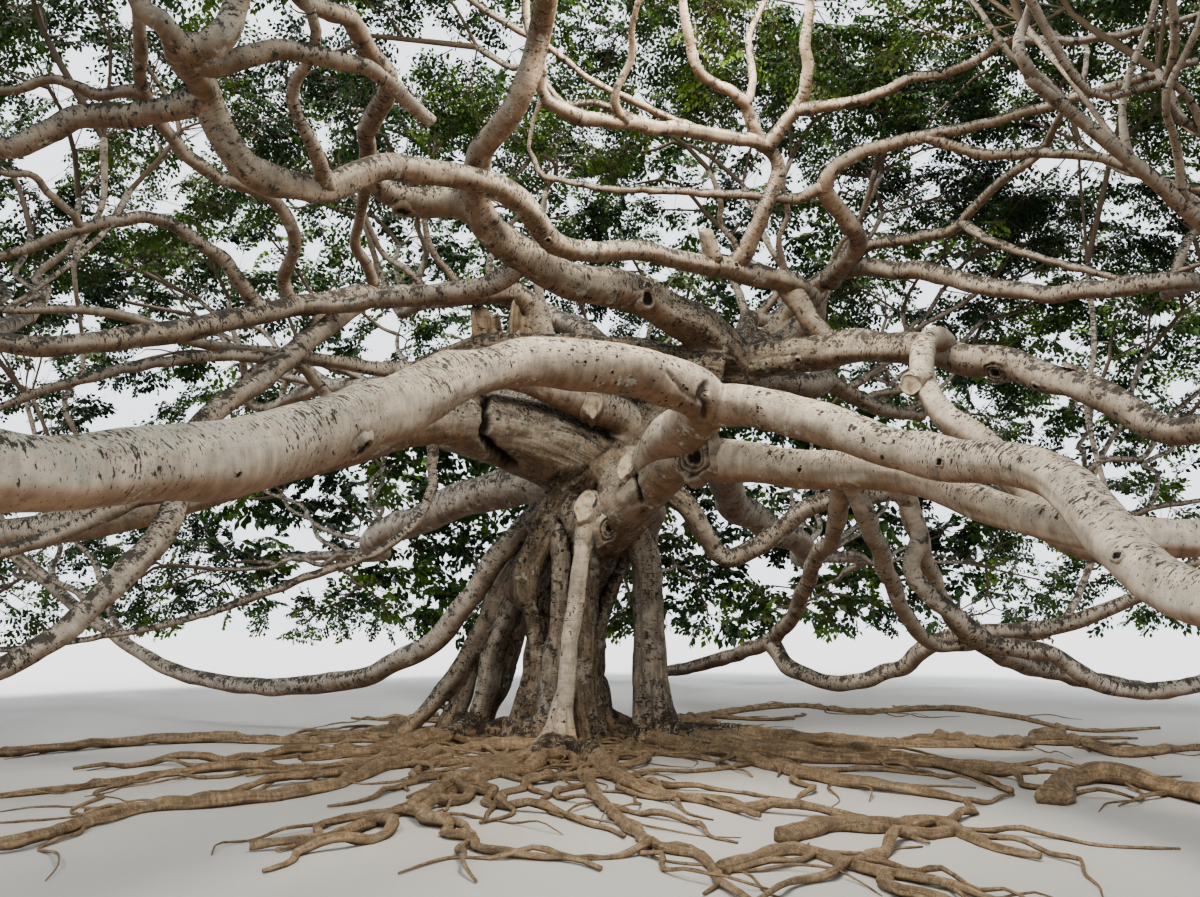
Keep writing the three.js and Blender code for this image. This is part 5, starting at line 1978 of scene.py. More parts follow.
@dataclass
class BoughSet:
    """The boughs beyond the fused bodies, each a winding tube with relief."""

    barks: Barks
    fork: FrontFork
    near_net: Net = Net(50, 0.045)
    far_net: Net = Net(22, 0.09)
    trace_net: Net = Net(16, 0.08)

    def start_of(self, bough: Bough) -> float:
        """How far along a bough its own tube starts."""
        if bough.name == "great_left":
            return self.fork.left_end
        if bough.name == "great_right":
            return self.fork.right_end
        return bough.fused

    def build(self) -> None:
        """Makes each bough and dresses it."""
        for bough in BOUGHS:
            limb = LIMBS[bough.name]
            start = self.start_of(bough)
            inside = start > 0
            stretch = Stretch(
                limb, max(0.0, start - HANDOVER), limb.length, enters=inside, collar=0.0 if inside else 0.3
            )
            net = self.near_net if bough.near else self.far_net
            mesh = tube_mesh(f"bough_{bough.name}", stretch, *net)
            finish_bark(mesh)
            add_piece(mesh, f"limb_{bough.name}", [self.barks.pale], "bark", *bough.nodes)
        for trace in TRACES:
            stretch = whole(LIMBS[trace.name], collar=0.3)
            mesh = tube_mesh(f"trace_{trace.name}", stretch, *self.trace_net)
            finish_bark(mesh)
            add_piece(mesh, f"limb_{trace.name}", [self.barks.pale], "bark")


@dataclass
class RootMat:
    """The roots that run over the ground: five stout ones and a web of finer ones."""

    barks: Barks
    fine_count: int = 260
    seed: int = 77
    stout_net: Net = Net(26, 0.06)
    traced_net: Net = Net(14, 0.09)
    companion_net: Net = Net(10, 0.1)
    thin_net: Net = Net(5, 0.13)
    stout_relief: Relief = Relief(0.22, 0.14, 0.04)
    traced_relief: Relief = Relief(0.3, 0.12, 0.03)
    companion_relief: Relief = Relief(0.25, 0.1, 0.03)
    thin_relief: Relief = Relief(0.25, 0.12, 0.03)
    feet: tuple[Place, ...] = (
        (-0.42, -1.6, 0.3), (-0.4, 0.1, 0.75), (1.05, -0.4, 0.35), (-2.0, 0.9, 0.3), (0.7, 0.8, 0.4),
    )

    @staticmethod
    def flattened(mesh: bpy.types.Mesh) -> None:
        """Presses a root's underside flat on the ground."""
        spots = coordinates(mesh)
        spots[:, 2] = np.maximum(spots[:, 2], 0.0)
        mesh.vertices.foreach_set("co", spots.ravel())
        mesh.update()

    def stout(self) -> None:
        """The five stout roots."""
        for name, limb in ROOTS.items():
            start = ROOT_FOOT - HANDOVER
            stretch = Stretch(limb, start, limb.length, enters=True, relief=self.stout_relief)
            mesh = tube_mesh(name, stretch, *self.stout_net)
            self.flattened(mesh)
            finish_bark(mesh)
            add_piece(mesh, name.replace("surface_root", "ground_root"), [self.barks.root], "root_bark", name)

    def companions(self) -> list[bpy.types.Mesh]:
        """Thinner roots that wind along the stout ones."""
        roll = Dice(self.seed + 1)
        meshes = []
        for radii, route in SURFACE_ROOTS.values():
            guide = Limb("guide", [(x, y, 0.0) for x, y in route], list(radii))
            for side in (-1.0, 1.0, 0.4):
                points = []
                for k in range(9):
                    metres = np.array([guide.length * k / 8])
                    place = guide.places(metres)[0]
                    heading = guide.frames(metres)[0][0]
                    girth = float(guide.radius(metres)[0])
                    sway = side * girth * 0.9 + (roll() - 0.5) * 0.3
                    aside = place[:2] + np.array([-heading[1], heading[0]]) * sway
                    points.append((*aside, girth * (0.1 + roll() * 0.5)))
                thick = radii[0] * (0.3 + roll() * 0.25)
                thinning = [thick, thick * 0.8, thick * 0.3]
                limb = Limb("companion", points, thinning, Seed.COMPANIONS + len(meshes))
                stretch = whole(limb, self.companion_relief)
                meshes.append(tube_mesh("companion", stretch, *self.companion_net))
        return meshes

    def traced(self) -> list[bpy.types.Mesh]:
        """Long roots that lie where the photograph shows them."""
        meshes = []
        for index, (pixels, girth) in enumerate(ROOT_TRACES):
            roll = Dice(self.seed + 20 + index)
            points = [ground_place(pixel, 0.02 + girth * 0.5 * roll()) for pixel in pixels]
            radii = [girth, girth * 0.85, girth * 0.7, girth * 0.3]
            limb = Limb(f"root_trace_{index}", points, radii, Seed.ROOT_TRACES + index)
            meshes.append(tube_mesh("root_trace", whole(limb, self.traced_relief), *self.traced_net))
        return meshes

    def routes(self) -> list[Limb]:
        """The limbs of the stout and the traced roots, which the finer ones leave."""
        ways = [([ground_place(pixel, 0.03) for pixel in pixels], girth) for pixels, girth in ROOT_TRACES]
        return [*ROOTS.values(), *(Limb("route", way, [girth]) for way, girth in ways)]

    def fine(self) -> None:
        """The finer roots: each wanders outwards over the ground, with loops that stand a little off it."""
        roll = Dice(self.seed)
        meshes = [*self.companions(), *self.traced()]
        routes = self.routes()
        for k in range(self.fine_count):
            if k % 3:
                limb = routes[int(roll() * len(routes))]
                metres = np.array([roll() * limb.length * 0.85])
                x, y, _ = limb.places(metres)[0]
                heading = limb.frames(metres)[0][0]
                outward = math.atan2(heading[1], heading[0]) + (roll() - 0.5) * 1.6
            else:
                x, y, rim = self.feet[int(roll() * len(self.feet))]
                outward = roll() * 2 * math.pi
                away = rim + roll() * 0.5
                x, y = x + math.cos(outward) * away, y + math.sin(outward) * away
            girth = 0.018 + roll() ** 2.5 * 0.07
            length = 0.8 + roll() * 2.0 + girth * 18
            turn = outward + (roll() - 0.5) * 1.2
            points = []
            steps = max(5, round(length / 0.34))
            for j in range(steps + 1):
                loop = (roll() ** 3) * 0.09 if 0 < j < steps else 0.0
                points.append((x, y, girth * 0.35 + loop))
                turn += (roll() - 0.5) * 1.5 + (outward - turn) * 0.3
                x += math.cos(turn) * length / steps
                y += math.sin(turn) * length / steps
            radii = [girth, girth * 0.85, girth * 0.6, girth * 0.25]
            limb = Limb(f"fine_root_{k}", points, radii, Seed.FINE_ROOTS + k)
            meshes.append(tube_mesh("fine_root", whole(limb, self.thin_relief), *self.thin_net))
        mesh = joined(meshes, "fine_roots")
        self.flattened(mesh)
        finish_bark(mesh)
        add_piece(mesh, "fine_roots", [self.barks.root], "root_bark")

    def build(self) -> None:
        """Makes the roots."""
        self.stout()
        self.fine()


class Wisp(NamedTuple):
    """A twig as a row of nodes with a radius at each."""

    nodes: np.ndarray
    radii: np.ndarray


def wisp_mesh(name: str, wisps: list[Wisp], sides: int) -> bpy.types.Mesh:
    """Many thin tubes as one mesh, each drawn to a point at its end.

    Args:
        name: the mesh's name.
        wisps: the twigs.
        sides: faces round each.

    Returns:
        The mesh.
    """
    nodes = np.vstack([wisp.nodes for wisp in wisps])
    radii = np.concatenate([wisp.radii for wisp in wisps])
    counts = np.array([len(wisp.nodes) for wisp in wisps])
    owner = np.repeat(np.arange(len(wisps)), counts)
    starts = np.concatenate([[0], np.cumsum(counts)[:-1]])
    ends = starts + counts - 1
    is_end = np.zeros(len(nodes), dtype=bool)
    is_end[ends] = True
    is_start = np.zeros(len(nodes), dtype=bool)
    is_start[starts] = True
    ahead = np.where(is_end[:, None], nodes, np.roll(nodes, -1, axis=0))
    behind = np.where(is_start[:, None], nodes, np.roll(nodes, 1, axis=0))
    headings = unit(ahead - behind)
    courses = unit(nodes[ends] - nodes[starts])[owner]
    steady = np.where(np.abs(courses[:, 2:]) > 0.8, np.array([[1.0, 0.0, 0.0]]), UP[None, :])
    normal = unit(steady - headings * np.sum(steady * headings, axis=1, keepdims=True))
    binormal = np.cross(headings, normal)
    turns = 2 * np.pi * np.arange(sides) / sides
    across, up = np.cos(turns)[None, :, None], np.sin(turns)[None, :, None]
    circle = normal[:, None, :] * across + binormal[:, None, :] * up
    rings = nodes[:, None, :] + circle * radii[:, None, None]
    body = np.flatnonzero(~is_end)
    inner = body[~is_end[body + 1]]
    side = np.arange(sides)
    after = (side + 1) % sides
    quads = np.stack(
        [
            inner[:, None] * sides + side,
            inner[:, None] * sides + after,
            (inner[:, None] + 1) * sides + after,
            (inner[:, None] + 1) * sides + side,
        ],
        axis=-1,
    ).reshape(-1, 4)
    last = body[is_end[body + 1]]
    tips = np.stack(
        [
            last[:, None] * sides + side,
            last[:, None] * sides + after,
            np.broadcast_to((last[:, None] + 1) * sides, (len(last), sides)),
        ],
        axis=-1,
    ).reshape(-1, 3)
    return faces_to_mesh(name, rings.reshape(-1, 3), [quads, tips])


def faces_to_mesh(name: str, places: np.ndarray, groups: list[np.ndarray]) -> bpy.types.Mesh:
    """A mesh from arrays of faces, each array of one number of corners, with unused vertices left out.

    Args:
        name: the mesh's name.
        places: vertices, n by 3.
        groups: faces, as indices.

    Returns:
        The mesh.
    """
    flat = np.concatenate([group.ravel() for group in groups])
    used, corners = np.unique(flat, return_inverse=True)
    sizes = np.concatenate([np.full(len(group), group.shape[1]) for group in groups])
    mesh = bpy.data.meshes.new(name)
    mesh.vertices.add(len(used))
    mesh.vertices.foreach_set("co", places[used].astype(np.float32).ravel())
    mesh.loops.add(len(corners))
    mesh.loops.foreach_set("vertex_index", corners.astype(np.int32))
    mesh.polygons.add(len(sizes))
    mesh.polygons.foreach_set("loop_start", np.concatenate([[0], np.cumsum(sizes)[:-1]]).astype(np.int32))
    mesh.update(calc_edges=True)
    mesh.validate()
    return mesh


class Leafing(NamedTuple):
    """How a spray is leaved: its leaves along the stem and along each side stem, and how long they are."""

    along_stem: int
    along_side: int
    side_stems: int
    leaf_length: float


class Grain(Enum):
    """Leafing that is finer where the photograph shows the crown from nearer by."""

    NEAR = Leafing(11, 8, 6, 0.134)
    FAR = Leafing(10, 8, 4, 0.188)
    UNSEEN = Leafing(8, 6, 3, 0.335)


@dataclass
class SprayTemplate:
    """A leafy twig end of unit length: a stem along x with side stems, and leaves along them."""

    seed: int
    leafing: Leafing
    leaf_width: float = 0.64
    leaves: list[np.ndarray] = field(default_factory=list)
    stems: list[Wisp] = field(default_factory=list)

    def __post_init__(self) -> None:
        """Grows the spray from its seed."""
        roll = Dice(self.seed)
        droop = 0.1 + roll() * 0.1
        bend, aside = (roll() - 0.5) * 0.08, (roll() - 0.5) * 0.14
        spine = np.array([[0, 0, 0], [0.45, bend, 0.02], [0.9, aside, -droop]])
        thick = np.array([0.011, 0.007, 0.0])
        if self.leafing is Grain.UNSEEN.value:
            spine, thick = spine[[0, 2]], thick[[0, 2]]
        self.stems.append(Wisp(spine, thick))
        self._leaf_along(spine, self.leafing.along_stem, roll, 0.12)
        last = self.leafing.side_stems - 1
        for k in range(last + 1):
            share = 0.18 + 0.62 * k / last
            foot = self._on(spine, share)
            side = 1 if k % 2 else -1
            splay = math.radians(42 + roll() * 28) * side
            reach = (0.6 - 0.26 * share) * (0.85 + roll() * 0.3)
            tip = foot + reach * np.array([math.cos(splay), math.sin(splay), 0.15 - roll() * 0.6])
            self.stems.append(Wisp(np.array([foot, tip]), np.array([0.006, 0.0])))
            self._leaf_along(np.array([foot, tip]), self.leafing.along_side, roll, 0.2)

    @staticmethod
    def _on(line: np.ndarray, share: float) -> np.ndarray:
        """A place on a line of points, by share."""
        place = share * (len(line) - 1)
        k = min(int(place), len(line) - 2)
        return line[k] + (line[k + 1] - line[k]) * (place - k)

    def _leaf_along(self, line: np.ndarray, count: int, roll: Dice, first: float) -> None:
        """Sets leaves along a stem, to the left and the right in turn, and one at its end.

        Args:
            line: the stem's points.
            count: how many leaves.
            roll: random numbers.
            first: the share of the stem at which the first leaf sits.
        """
        heading = unit(line[-1] - line[0])
        flat = unit(np.cross(UP, heading))
        for k in range(count):
            share = first + (1 - first) * k / (count - 1)
            root = self._on(line, share)
            side = 1 if k % 2 else -1
            splay = 0.0 if k == count - 1 else 0.75 + roll() * 0.5
            drop = UP * (-0.85 + (roll() - 0.5) * 1.2)
            ahead = unit(heading * math.cos(splay) + flat * side * math.sin(splay) + drop)
            self.leaves.append(self._blade(root, ahead, roll))

    def _blade(self, root: np.ndarray, ahead: np.ndarray, roll: Dice) -> np.ndarray:
        """A leaf folded along its rib.

        Args:
            root: where its stalk leaves the stem.
            ahead: the way it points.
            roll: random numbers.

        Returns:
            Its corners: root, left, tip and right.
        """
        length = self.leafing.leaf_length * (0.8 + roll() * 0.4)
        side = unit(np.cross(UP + np.array([roll() - 0.5, roll() - 0.5, 0.0]) * 0.9, ahead))
        face = np.cross(ahead, side)
        stalk = root + ahead * length * 0.1
        widest = stalk + ahead * length * 0.4
        half = side * length * self.leaf_width / 2
        lift = face * length * 0.07
        return np.array([stalk, widest + half + lift, stalk + ahead * length, widest - half + lift])


class CrownWindow(NamedTuple):
    """A part of the photograph, in pixels, where its crown is denser or more open than elsewhere."""

    pixel: Place2
    reach: Place2
    factor: float


CROWN_WINDOWS = (
    CrownWindow((150.0, 80.0), (150.0, 110.0), 0.55),
    CrownWindow((420.0, 60.0), (90.0, 90.0), 0.85),
    CrownWindow((1080.0, 70.0), (190.0, 130.0), 1.9),
    CrownWindow((1120.0, 300.0), (150.0, 130.0), 1.7),
    CrownWindow((70.0, 270.0), (120.0, 70.0), 1.5),
    CrownWindow((80.0, 560.0), (170.0, 60.0), 1.6),
)


@dataclass
class Crown:
    """The foliage: side limbs, twigs and leafy sprays that grow on from the boughs by the frame's rule."""

    barks: Barks
    candidates: int = 36000
    kept: float = 0.88
    near_share: float = 0.75
    base_share: float = 0.31
    unseen_share: float = 0.36
    front_share: float = 0.8
    hubs: int = 1000
    hub_jitter: Place = (0.9, 0.9, 0.4)
    least_height: float = 0.9
    most_height: float = 13.35
    hub_sink: float = 1.7
    squeeze: Place = (0.74, 0.74, 0.95)
    dome: float = 0.35
    near_reach: float = 22.0
    far_reach: float = 31.0
    view_margin: float = 60.0
    spray_span: float = 0.9
    clear_depth: float = 6.0
    clump_sizes: tuple[Place2, ...] = ((0.8, 0.45), (1.9, 0.55))
    jitter: Place = (0.5, 0.5, 0.4)
    template_count: int = 10
    template_seed: int = 200
    seed: int = 7
    group: int = 3
    limb_groups: int = 8
    bough_reach: float = 5.5
    bough_share: float = 0.55
    side_net: Net = Net(9, 0.2)
    side_collar: float = 0.15
    side_reach: float = 0.66
    side_leaving: float = 0.36
    side_arriving: float = 0.3
    side_sway: float = 0.17
    side_lift: float = 0.12
    side_stops: tuple[float, ...] = (0.14, 0.3, 0.46, 0.62, 0.8)
    spray_out: float = 0.85
    spray_up: float = 1.3
    fork_reach: float = 0.52
    last_reach: float = 0.72
    twig_root: float = 0.55
    twig_taper: float = 0.86
    twig_least: float = 0.007
    twig_first: float = 0.055
    thick_twig: float = 0.02
    crook: float = 0.16
    spray_lengths: Place2 = (0.68, 0.98)
    tone_steps: tuple[float, ...] = (-0.45, -0.08, 0.34, 0.72)
    bare: tuple[str, ...] = ("broken_arm", "leg", "under_left", "elbow")
    templates: list[SprayTemplate] = field(default_factory=list)

    def shell(self, turn: np.ndarray, tilt: np.ndarray) -> np.ndarray:
        """Places on the crown's shell.

        Args:
            turn: angle round the tree.
            tilt: angle down from its top.

        Returns:
            Places, n by 3.
        """
        waist = CROWN_WAIST + front_lift(turn)
        upper = tilt <= math.pi / 2
        drop = np.clip((tilt - math.pi / 2) / (math.pi / 2), 0, 1)
        reach = (CROWN_REACH + self.spray_out) * np.where(upper, np.sin(tilt), 1 - SKIRT_TUCK * drop)
        top = CROWN_RISE + CROWN_WAIST + self.spray_up
        height = np.where(upper, waist + (top - waist) * np.cos(tilt), waist - SKIRT_DROP * drop)
        return np.column_stack([np.cos(turn) * reach, np.sin(turn) * reach, height])

    def even_tilts(self, count: int) -> np.ndarray:
        """Tilts that share the shell's area evenly."""
        tilts = np.linspace(0, math.pi, 121)
        ring = self.shell(np.zeros(len(tilts)), tilts)
        steps = np.linalg.norm(np.diff(ring, axis=0), axis=1) * (ring[1:, 0] + ring[:-1, 0]) / 2
        area = np.concatenate([[0.0], np.cumsum(steps)])
        return np.interp((np.arange(count) + 0.5) / count * area[-1], area, tilts)

    def targets(self) -> dict[str, np.ndarray]:
        """Where the sprays go: even on the shell, sunk in its creases, with gaps between clumps.

        Returns:
            The places of each lobe, by its name.
        """
        rng = np.random.default_rng(self.seed)
        places = self.spiral(self.candidates)
        (large, much), (small, rest) = self.clump_sizes
        clumps = ripple(places * large, Field.CLUMPS) * much
        clumps = clumps + ripple(places * small, Field.SMALL_CLUMPS) * rest
        places = places[clumps > np.quantile(clumps, 1 - self.kept)]
        front = smooth_step((-places[:, 1] - 2.0) / 5.0)
        share = self.base_share * (1 - front * (1 - self.front_share))
        grains = self.grains(places)
        share = np.where(grains == 0, self.near_share, np.where(grains == 2, self.unseen_share, share))
        places = places[rng.random(len(places)) < share * self.seen_density(places)]
        places, sunk = self.gathered(places, rng)
        places = places + (rng.random(places.shape) - 0.5) * self.jitter
        centres = np.array([lobe.centre for lobe in LOBES.values()])
        away = np.linalg.norm(places[:, None, :] - centres[None, :, :], axis=2)
        order = np.argsort(away, axis=1)
        first = order[:, 0]
        rows = np.arange(len(places))
        crease = 1 - np.clip((away[rows, order[:, 1]] - away[rows, first]) / LOBE_SPAN, 0, 1)
        swell = np.array([lobe.swell for lobe in LOBES.values()])[first]
        inward = unit(CROWN_HEART - places)
        depth = rng.random(len(places)) ** 2 * 0.9 + sunk
        places = places + inward * (crease**2 * LOBE_CREASE - swell * 0.8 + depth)[:, None]
        places[:, 2] = np.clip(places[:, 2], self.least_height, self.most_height)
        seen, depths = self.in_view(places)
        clear = ~(seen & (depths < self.clear_depth))
        places, first = places[clear], first[clear]
        return {name: places[first == k] for k, name in enumerate(LOBES)}

    @staticmethod
    def seen_density(places: np.ndarray) -> np.ndarray:
        """How much denser or more open than elsewhere the photograph shows the crown at places."""
        pixels, depths = seen_pixels(places)
        factor = np.ones(len(places))
        for window in CROWN_WINDOWS:
            off = (pixels - np.array(window.pixel)) / np.array(window.reach)
            share = smooth_step(1.5 - np.linalg.norm(off, axis=1)) * (depths > 0)
            factor += share * (window.factor - 1)
        return np.maximum(factor, 0.0)

    def spiral(self, count: int) -> np.ndarray:
        """Places spread evenly over the crown's shell."""
        golden = math.pi * (3 - math.sqrt(5))
        return self.shell(np.arange(count) * golden, self.even_tilts(count))

    def grains(self, places: np.ndarray) -> np.ndarray:
        """Which grain of leafing each place takes, as an index into the grains."""
        seen, depths = self.in_view(places)
        far_or_unseen = np.where(seen & (depths < self.far_reach), 1, 2)
        return np.where(seen & (depths < self.near_reach), 0, far_or_unseen)

    def in_view(self, places: np.ndarray) -> tuple[np.ndarray, np.ndarray]:
        """Whether a spray at each place reaches into the photograph, and its depth along the view."""
        pixels, depths = seen_pixels(places)
        middle = np.array(PHOTO_MIDDLE)
        margin = self.view_margin + self.spray_span / np.maximum(depths, 0.5) * PHOTO_FOCUS
        return (np.abs(pixels - middle) < middle + margin[:, None]).all(axis=1) & (depths > 0), depths

    def gathered(self, places: np.ndarray, rng: np.random.Generator) -> tuple[np.ndarray, np.ndarray]:
        """Places drawn together into rounded clumps with gaps between them.

        Args:
            places: where sprays would go.
            rng: random numbers.

        Returns:
            The places drawn together, and how far the clump of each is sunk into the crown.
        """
        hubs = self.spiral(self.hubs) + (rng.random((self.hubs, 3)) - 0.5) * np.array(self.hub_jitter)
        sunk = rng.random(self.hubs) ** 2 * self.hub_sink
        tree = search_tree(hubs)
        nearest = np.array([tree.find(place)[1] for place in places])
        hub = hubs[nearest]
        off = places - hub
        away = np.linalg.norm(off, axis=1, keepdims=True)
        outward = unit(hub - CROWN_HEART)
        dome = outward * self.dome * (1 - np.minimum(away / 1.1, 1.0) ** 2)
        squeeze = np.array(self.squeeze)[self.grains(places)]
        return hub + off * squeeze[:, None] + dome, sunk[nearest]

    @staticmethod
    def halves(places: np.ndarray) -> tuple[np.ndarray, np.ndarray]:
        """Two halves of a group of places, cut across its widest side."""
        axis = int(np.argmax(np.ptp(places, axis=0)))
        ordered = places[np.argsort(places[:, axis], kind="stable")]
        middle = math.ceil(len(ordered) / 2)
        return ordered[:middle], ordered[middle:]

    def split(self, places: np.ndarray, parts: int) -> list[np.ndarray]:
        """A group of places halved again and again."""
        groups = [places]
        while len(groups) < parts:
            groups = [half for group in groups for half in self.halves(group)]
        return groups

    def traces_by_lobe(self) -> dict[str, list[Limb]]:
        """The traced limbs whose tips end near each lobe."""
        carried: dict[str, list[Limb]] = {}
        for limb in [LIMBS[trace.name] for trace in TRACES if trace.name not in self.bare]:
            tip = limb.points[-1]
            nearest = min(LOBES.values(), key=lambda lobe: float(np.linalg.norm(lobe.centre - tip)))
            carried.setdefault(nearest.name, []).append(limb)
        return carried

    def shared_out(
        self, groups: list[np.ndarray], bough: Limb, others: list[Limb]
    ) -> list[tuple[Limb, float, np.ndarray]]:
        """Where each group of sprays starts: at the tip of a limb that ends near it, or along the bough.

        Args:
            groups: the groups of places.
            bough: the mass's bough.
            others: traced limbs that end in the mass.

        Returns:
            For each group its limb, the metres along it, and its places.
        """
        left = list(groups)
        shared = []
        for limb in [bough, *others]:
            if not left:
                break
            tip = limb.points[-1]
            away = [float(np.linalg.norm(places.mean(axis=0) - tip)) for places in left]
            shared.append((limb, limb.length - 0.1, left.pop(away.index(min(away)))))
        left.sort(key=lambda places: float(np.linalg.norm(places.mean(axis=0) - bough.points[-1])))
        reach = min(self.bough_reach, bough.length * self.bough_share)
        for k, places in enumerate(left):
            shared.append((bough, bough.length - reach * (k + 1) / (len(left) + 1), places))
        return shared

    def side_limb(self, limb: Limb, start: float, goal: np.ndarray, roll: Dice, seed: int) -> Limb:
        """A winding limb from a bough towards a group of sprays.

        Args:
            limb: the bough.
            start: metres along it.
            goal: the middle of the sprays.
            roll: random numbers.
            seed: for its lumps.

        Returns:
            The limb.
        """
        foot = limb.places(np.array([start]))[0]
        heading = limb.frames(np.array([max(0.0, start - 0.1), start]))[0][1]
        end = foot + (goal - foot) * self.side_reach
        span = float(np.linalg.norm(end - foot))
        ahead = unit(end - foot)
        side = unit(np.cross(ahead, UP))
        at_tip = start >= limb.length - 0.2
        leaving = foot + (heading if at_tip else unit(heading + ahead * 1.2)) * span * self.side_leaving
        arriving = end - unit(ahead + UP * 0.3) * span * self.side_arriving
        points = [foot]
        for share in self.side_stops:
            rest = 1 - share
            place = foot * rest**3 + leaving * 3 * rest**2 * share
            place = place + arriving * 3 * rest * share**2 + end * share**3
            swing = span * math.sin(math.pi * share)
            place = place + side * (roll() - 0.5) * swing * self.side_sway
            points.append(place + UP * (roll() - 0.4) * swing * self.side_lift)
        points.append(end)
        girth = float(limb.radius(np.array([start]))[0])
        thick = girth if at_tip else min(0.09, girth * 0.62)
        return Limb(f"side_{seed}", np.array(points), [thick, thick * 0.66, 0.05], seed)

    def grow(self, nodes: list[tuple[np.ndarray, float]], places: np.ndarray, roll: Dice, out: list[Wisp],
             sprays: list[tuple[np.ndarray, np.ndarray]]) -> None:
        """A twig goes on through the larger half of its places, and a side twig takes the other half.

        Args:
            nodes: the twig so far, as places with radii.
            places: where its sprays go.
            roll: random numbers.
            out: finished twigs are added here.
            sprays: the foot and the goal of each spray are added here.
        """
        while True:
            place, radius = nodes[-1]
            last = len(places) <= self.group
            own, other = (places, places[:0]) if last else self.halves(places)
            reach = self.last_reach if last else self.fork_reach
            step = (own.mean(axis=0) - place) * reach
            bend = (np.array([roll(), roll(), roll()]) - 0.5) * self.crook * np.linalg.norm(step) * 2
            tip = (place + step + bend, max(self.twig_least, radius * self.twig_taper))
            nodes.append(tip)
            if len(other):
                self.grow([(place, max(self.twig_least, radius * self.twig_root))], other, roll, out, sprays)
            if last:
                out.append(Wisp(np.array([n[0] for n in nodes]), np.array([n[1] for n in nodes])))
                back = nodes[-2][0]
                for k, goal in enumerate(own):
                    foot = tip[0] + (back - tip[0]) * (0.04 + 0.3 * k / self.group)
                    sprays.append((foot, goal))
                return
            places = own

    @staticmethod
    def rounded(wisp: Wisp) -> Wisp:
        """A thick twig with more nodes, on a smooth curve."""
        limb = Limb("twig", wisp.nodes, list(wisp.radii))
        metres = np.linspace(0, limb.length, max(len(wisp.nodes) + 1, math.ceil(limb.length / 0.42)))
        return Wisp(limb.places(metres), limb.radius(metres))

    def leaf_mesh(self, name: str, sprays: list[tuple[np.ndarray, np.ndarray]], rng: np.random.Generator
                  ) -> tuple[bpy.types.Mesh, list[Wisp]]:
        """The sprays of one mass: their leaves as one mesh, and their stems as twigs.

        Args:
            name: the mesh's name.
            sprays: foot and goal of each.
            rng: random numbers.

        Returns:
            The leaves' mesh, with a tone dealt to each spray, and the stems.
        """
        feet = np.array([foot for foot, _ in sprays])
        goals = np.array([goal for _, goal in sprays])
        span = np.clip(np.linalg.norm(goals - feet, axis=1) * 1.1, *self.spray_lengths)
        ahead = unit(unit(goals - feet) + (rng.random(feet.shape) - 0.5) * 0.5)
        outward = unit(goals - CROWN_HEART)
        rough_up = unit(UP + outward * 0.5 + (rng.random(feet.shape) - 0.5) * 0.9)
        side = unit(np.cross(rough_up, ahead))
        face = np.cross(ahead, side)
        turned = np.stack([ahead, side, face], axis=2) * span[:, None, None]
        which = rng.integers(0, self.template_count, len(sprays)) + self.grains(goals) * self.template_count
        mood = ripple(goals * 0.45, Field.LEAF_TONES) * 0.9 + (rng.random(len(sprays)) - 0.5) * 1.3
        tones = np.digitize(mood, self.tone_steps)
        corners, faces, colours, stems = [], [], [], []
        total = 0
        for k, template in enumerate(self.templates):
            mine = np.flatnonzero(which == k)
            if not len(mine):
                continue
            blade = np.array(template.leaves).reshape(-1, 3)
            placed = np.einsum("nij,vj->nvi", turned[mine], blade) + feet[mine][:, None, :]
            corners.append(placed.reshape(-1, 3))
            leaves = len(template.leaves) * len(mine)
            first = total + np.arange(leaves) * 4
            faces.append((first[:, None, None] + np.array([[0, 1, 2], [0, 2, 3]])).reshape(-1, 3))
            colours.append(np.repeat(tones[mine], len(template.leaves) * 2))
            total += leaves * 4
            for stem in template.stems:
                lines = np.einsum("nij,vj->nvi", turned[mine], stem.nodes) + feet[mine][:, None, :]
                stems.extend(Wisp(line, stem.radii) for line in lines)
        mesh = faces_to_mesh(name, np.vstack(corners), [np.vstack(faces)])
        mesh.polygons.foreach_set("material_index", np.concatenate(colours).astype(np.int32))
        return mesh, stems

    def build(self) -> None:
        """Makes the side limbs, the twigs and the leaves of every mass."""
        seeds = range(self.template_seed, self.template_seed + self.template_count)
        self.templates = [SprayTemplate(seed, grain.value) for grain in Grain for seed in seeds]
        tones = [plain_material(tone.value) for tone in Tone]
        twig_bark = plain_material(TWIG_FINISH)
        targets = self.targets()
        carried = self.traces_by_lobe()
        for index, bough in enumerate(BOUGHS):
            if bough.lobe is None:
                continue
            lobe = LOBES[bough.lobe]
            roll = Dice(Seed.MASSES + index)
            rng = np.random.default_rng(Seed.MASSES + index)
            groups = self.split(targets[bough.lobe], self.limb_groups)
            shared = self.shared_out(groups, LIMBS[bough.name], carried.get(bough.lobe, []))
            limbs, twigs, sprays = [], [], []
            for k, (parent, start, places) in enumerate(shared):
                seed = Seed.SIDE_LIMBS + index * self.limb_groups + k
                side = self.side_limb(parent, start, places.mean(axis=0), roll, seed)
                limbs.append(tube_mesh("side", whole(side, collar=self.side_collar), *self.side_net))
                end = side.places(np.array([side.length]))[0]
                self.grow([(end, self.twig_first)], places, roll, twigs, sprays)
            limb_mesh = joined(limbs, f"side_limbs_{lobe.name}")
            finish_bark(limb_mesh)
            add_piece(limb_mesh, f"side_limbs_{lobe.name}", [self.barks.pale], "bark")
            leaves, stems = self.leaf_mesh(f"leaves_{lobe.name}", sprays, rng)
            add_piece(leaves, f"leaves_{lobe.name}", tones, "foliage", lobe.node)
            thick = [self.rounded(twig) for twig in twigs if twig.radii[0] > self.thick_twig]
            thin = [twig for twig in twigs if twig.radii[0] <= self.thick_twig]
            kinds = (("thick", thick, 4), ("thin", thin, 3), ("stems", stems, 3))
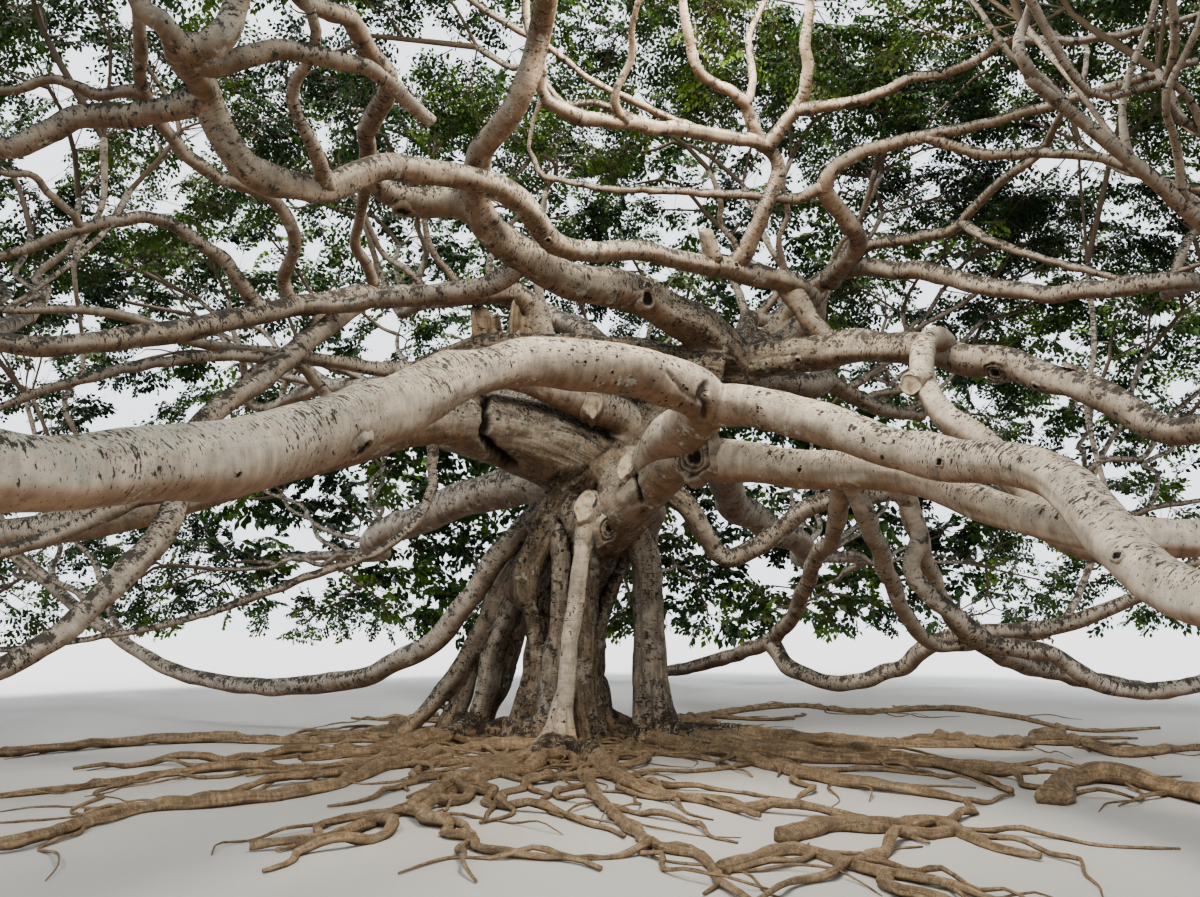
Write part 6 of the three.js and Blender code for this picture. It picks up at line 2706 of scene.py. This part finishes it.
            twig_mesh = joined([wisp_mesh(*kind) for kind in kinds], "twigs")
            finish_bark(twig_mesh)
            add_piece(twig_mesh, f"twigs_{lobe.name}", [twig_bark], "foliage", lobe.node)


class Lamp(NamedTuple):
    """A lamp that shines from a place to a goal, and its other settings."""

    name: str
    kind: str
    energy: float
    place: Place
    goal: Place
    settings: dict[str, object]


LAMPS = (
    Lamp("sun", "SUN", 4.8, (-9, -13, 24), (0, 0, 3), {"angle": math.radians(22)}),
    Lamp("fill", "AREA", 340.0, (-7, -27, 8.5), (0.5, -3, 4.5), {"size": 10.0}),
    Lamp("inner", "AREA", 1080.0, (1.8, -6.8, 10.9), (0.5, -2.6, 3.0),
         {"size": 3.6, "color": (1.0, 0.92, 0.8)}),
)
FLOOR_FINISH = PlainFinish("floor_paper", (0.6, 0.59, 0.56), 0.9)


@dataclass
class Studio:
    """A plain pale floor, plain soft light and the camera of the photograph."""

    sensor: float = 36.0
    floor_size: float = 400.0
    sky: tuple[float, ...] = (0.9, 0.94, 1.0, 1.0)
    sky_strength: float = 1.75
    clip_end: float = 500.0

    def floor(self) -> None:
        """The floor."""
        shape = bmesh.new()
        bmesh.ops.create_grid(shape, x_segments=1, y_segments=1, size=self.floor_size / 2)
        mesh = bpy.data.meshes.new("floor")
        shape.to_mesh(mesh)
        shape.free()
        mesh.materials.append(plain_material(FLOOR_FINISH))
        floor = bpy.data.objects.new("floor", mesh)
        bpy.context.scene.collection.objects.link(floor)

    def light(self) -> None:
        """A pale sky all round, a broad soft sun, and soft lamps that reach under the crown."""
        world = bpy.data.worlds.new("studio")
        world.use_nodes = True
        background = world.node_tree.nodes["Background"]
        background.inputs["Color"].default_value = self.sky
        background.inputs["Strength"].default_value = self.sky_strength
        bpy.context.scene.world = world
        bpy.context.scene.view_settings.look = "AgX - Medium High Contrast"
        for lamp in LAMPS:
            data = bpy.data.lights.new(lamp.name, lamp.kind)
            data.energy = lamp.energy
            for key, value in lamp.settings.items():
                setattr(data, key, value)
            holder = bpy.data.objects.new(lamp.name, data)
            holder.location = lamp.place
            holder.rotation_mode = "QUATERNION"
            holder.rotation_quaternion = (Vector(lamp.goal) - Vector(lamp.place)).to_track_quat("-Z", "Y")
            bpy.context.scene.collection.objects.link(holder)

    def camera(self) -> None:
        """The camera."""
        data = bpy.data.cameras.new("camera")
        data.sensor_width = self.sensor
        data.lens = PHOTO_FOCUS / (2 * PHOTO_MIDDLE[0]) * self.sensor
        data.clip_end = self.clip_end
        camera = bpy.data.objects.new("camera", data)
        camera.location = CAMERA_PLACE
        camera.rotation_euler = (math.pi / 2 + CAMERA_PITCH, 0, 0)
        bpy.context.scene.collection.objects.link(camera)
        bpy.context.scene.camera = camera

    def build(self) -> None:
        """Sets the studio up."""
        self.floor()
        self.light()
        self.camera()


def main() -> None:
    """Builds the studio and the tree."""
    logging.basicConfig(level=logging.INFO, format="%(message)s")
    Studio().build()
    barks = Barks()
    TrunkCluster(barks).build()
    fork = FrontFork(barks)
    fork.build()
    BoughSet(barks, fork).build()
    ScarSet(barks).build()
    RootMat(barks).build()
    Crown(barks).build()


if __name__ == "__main__":
    main()
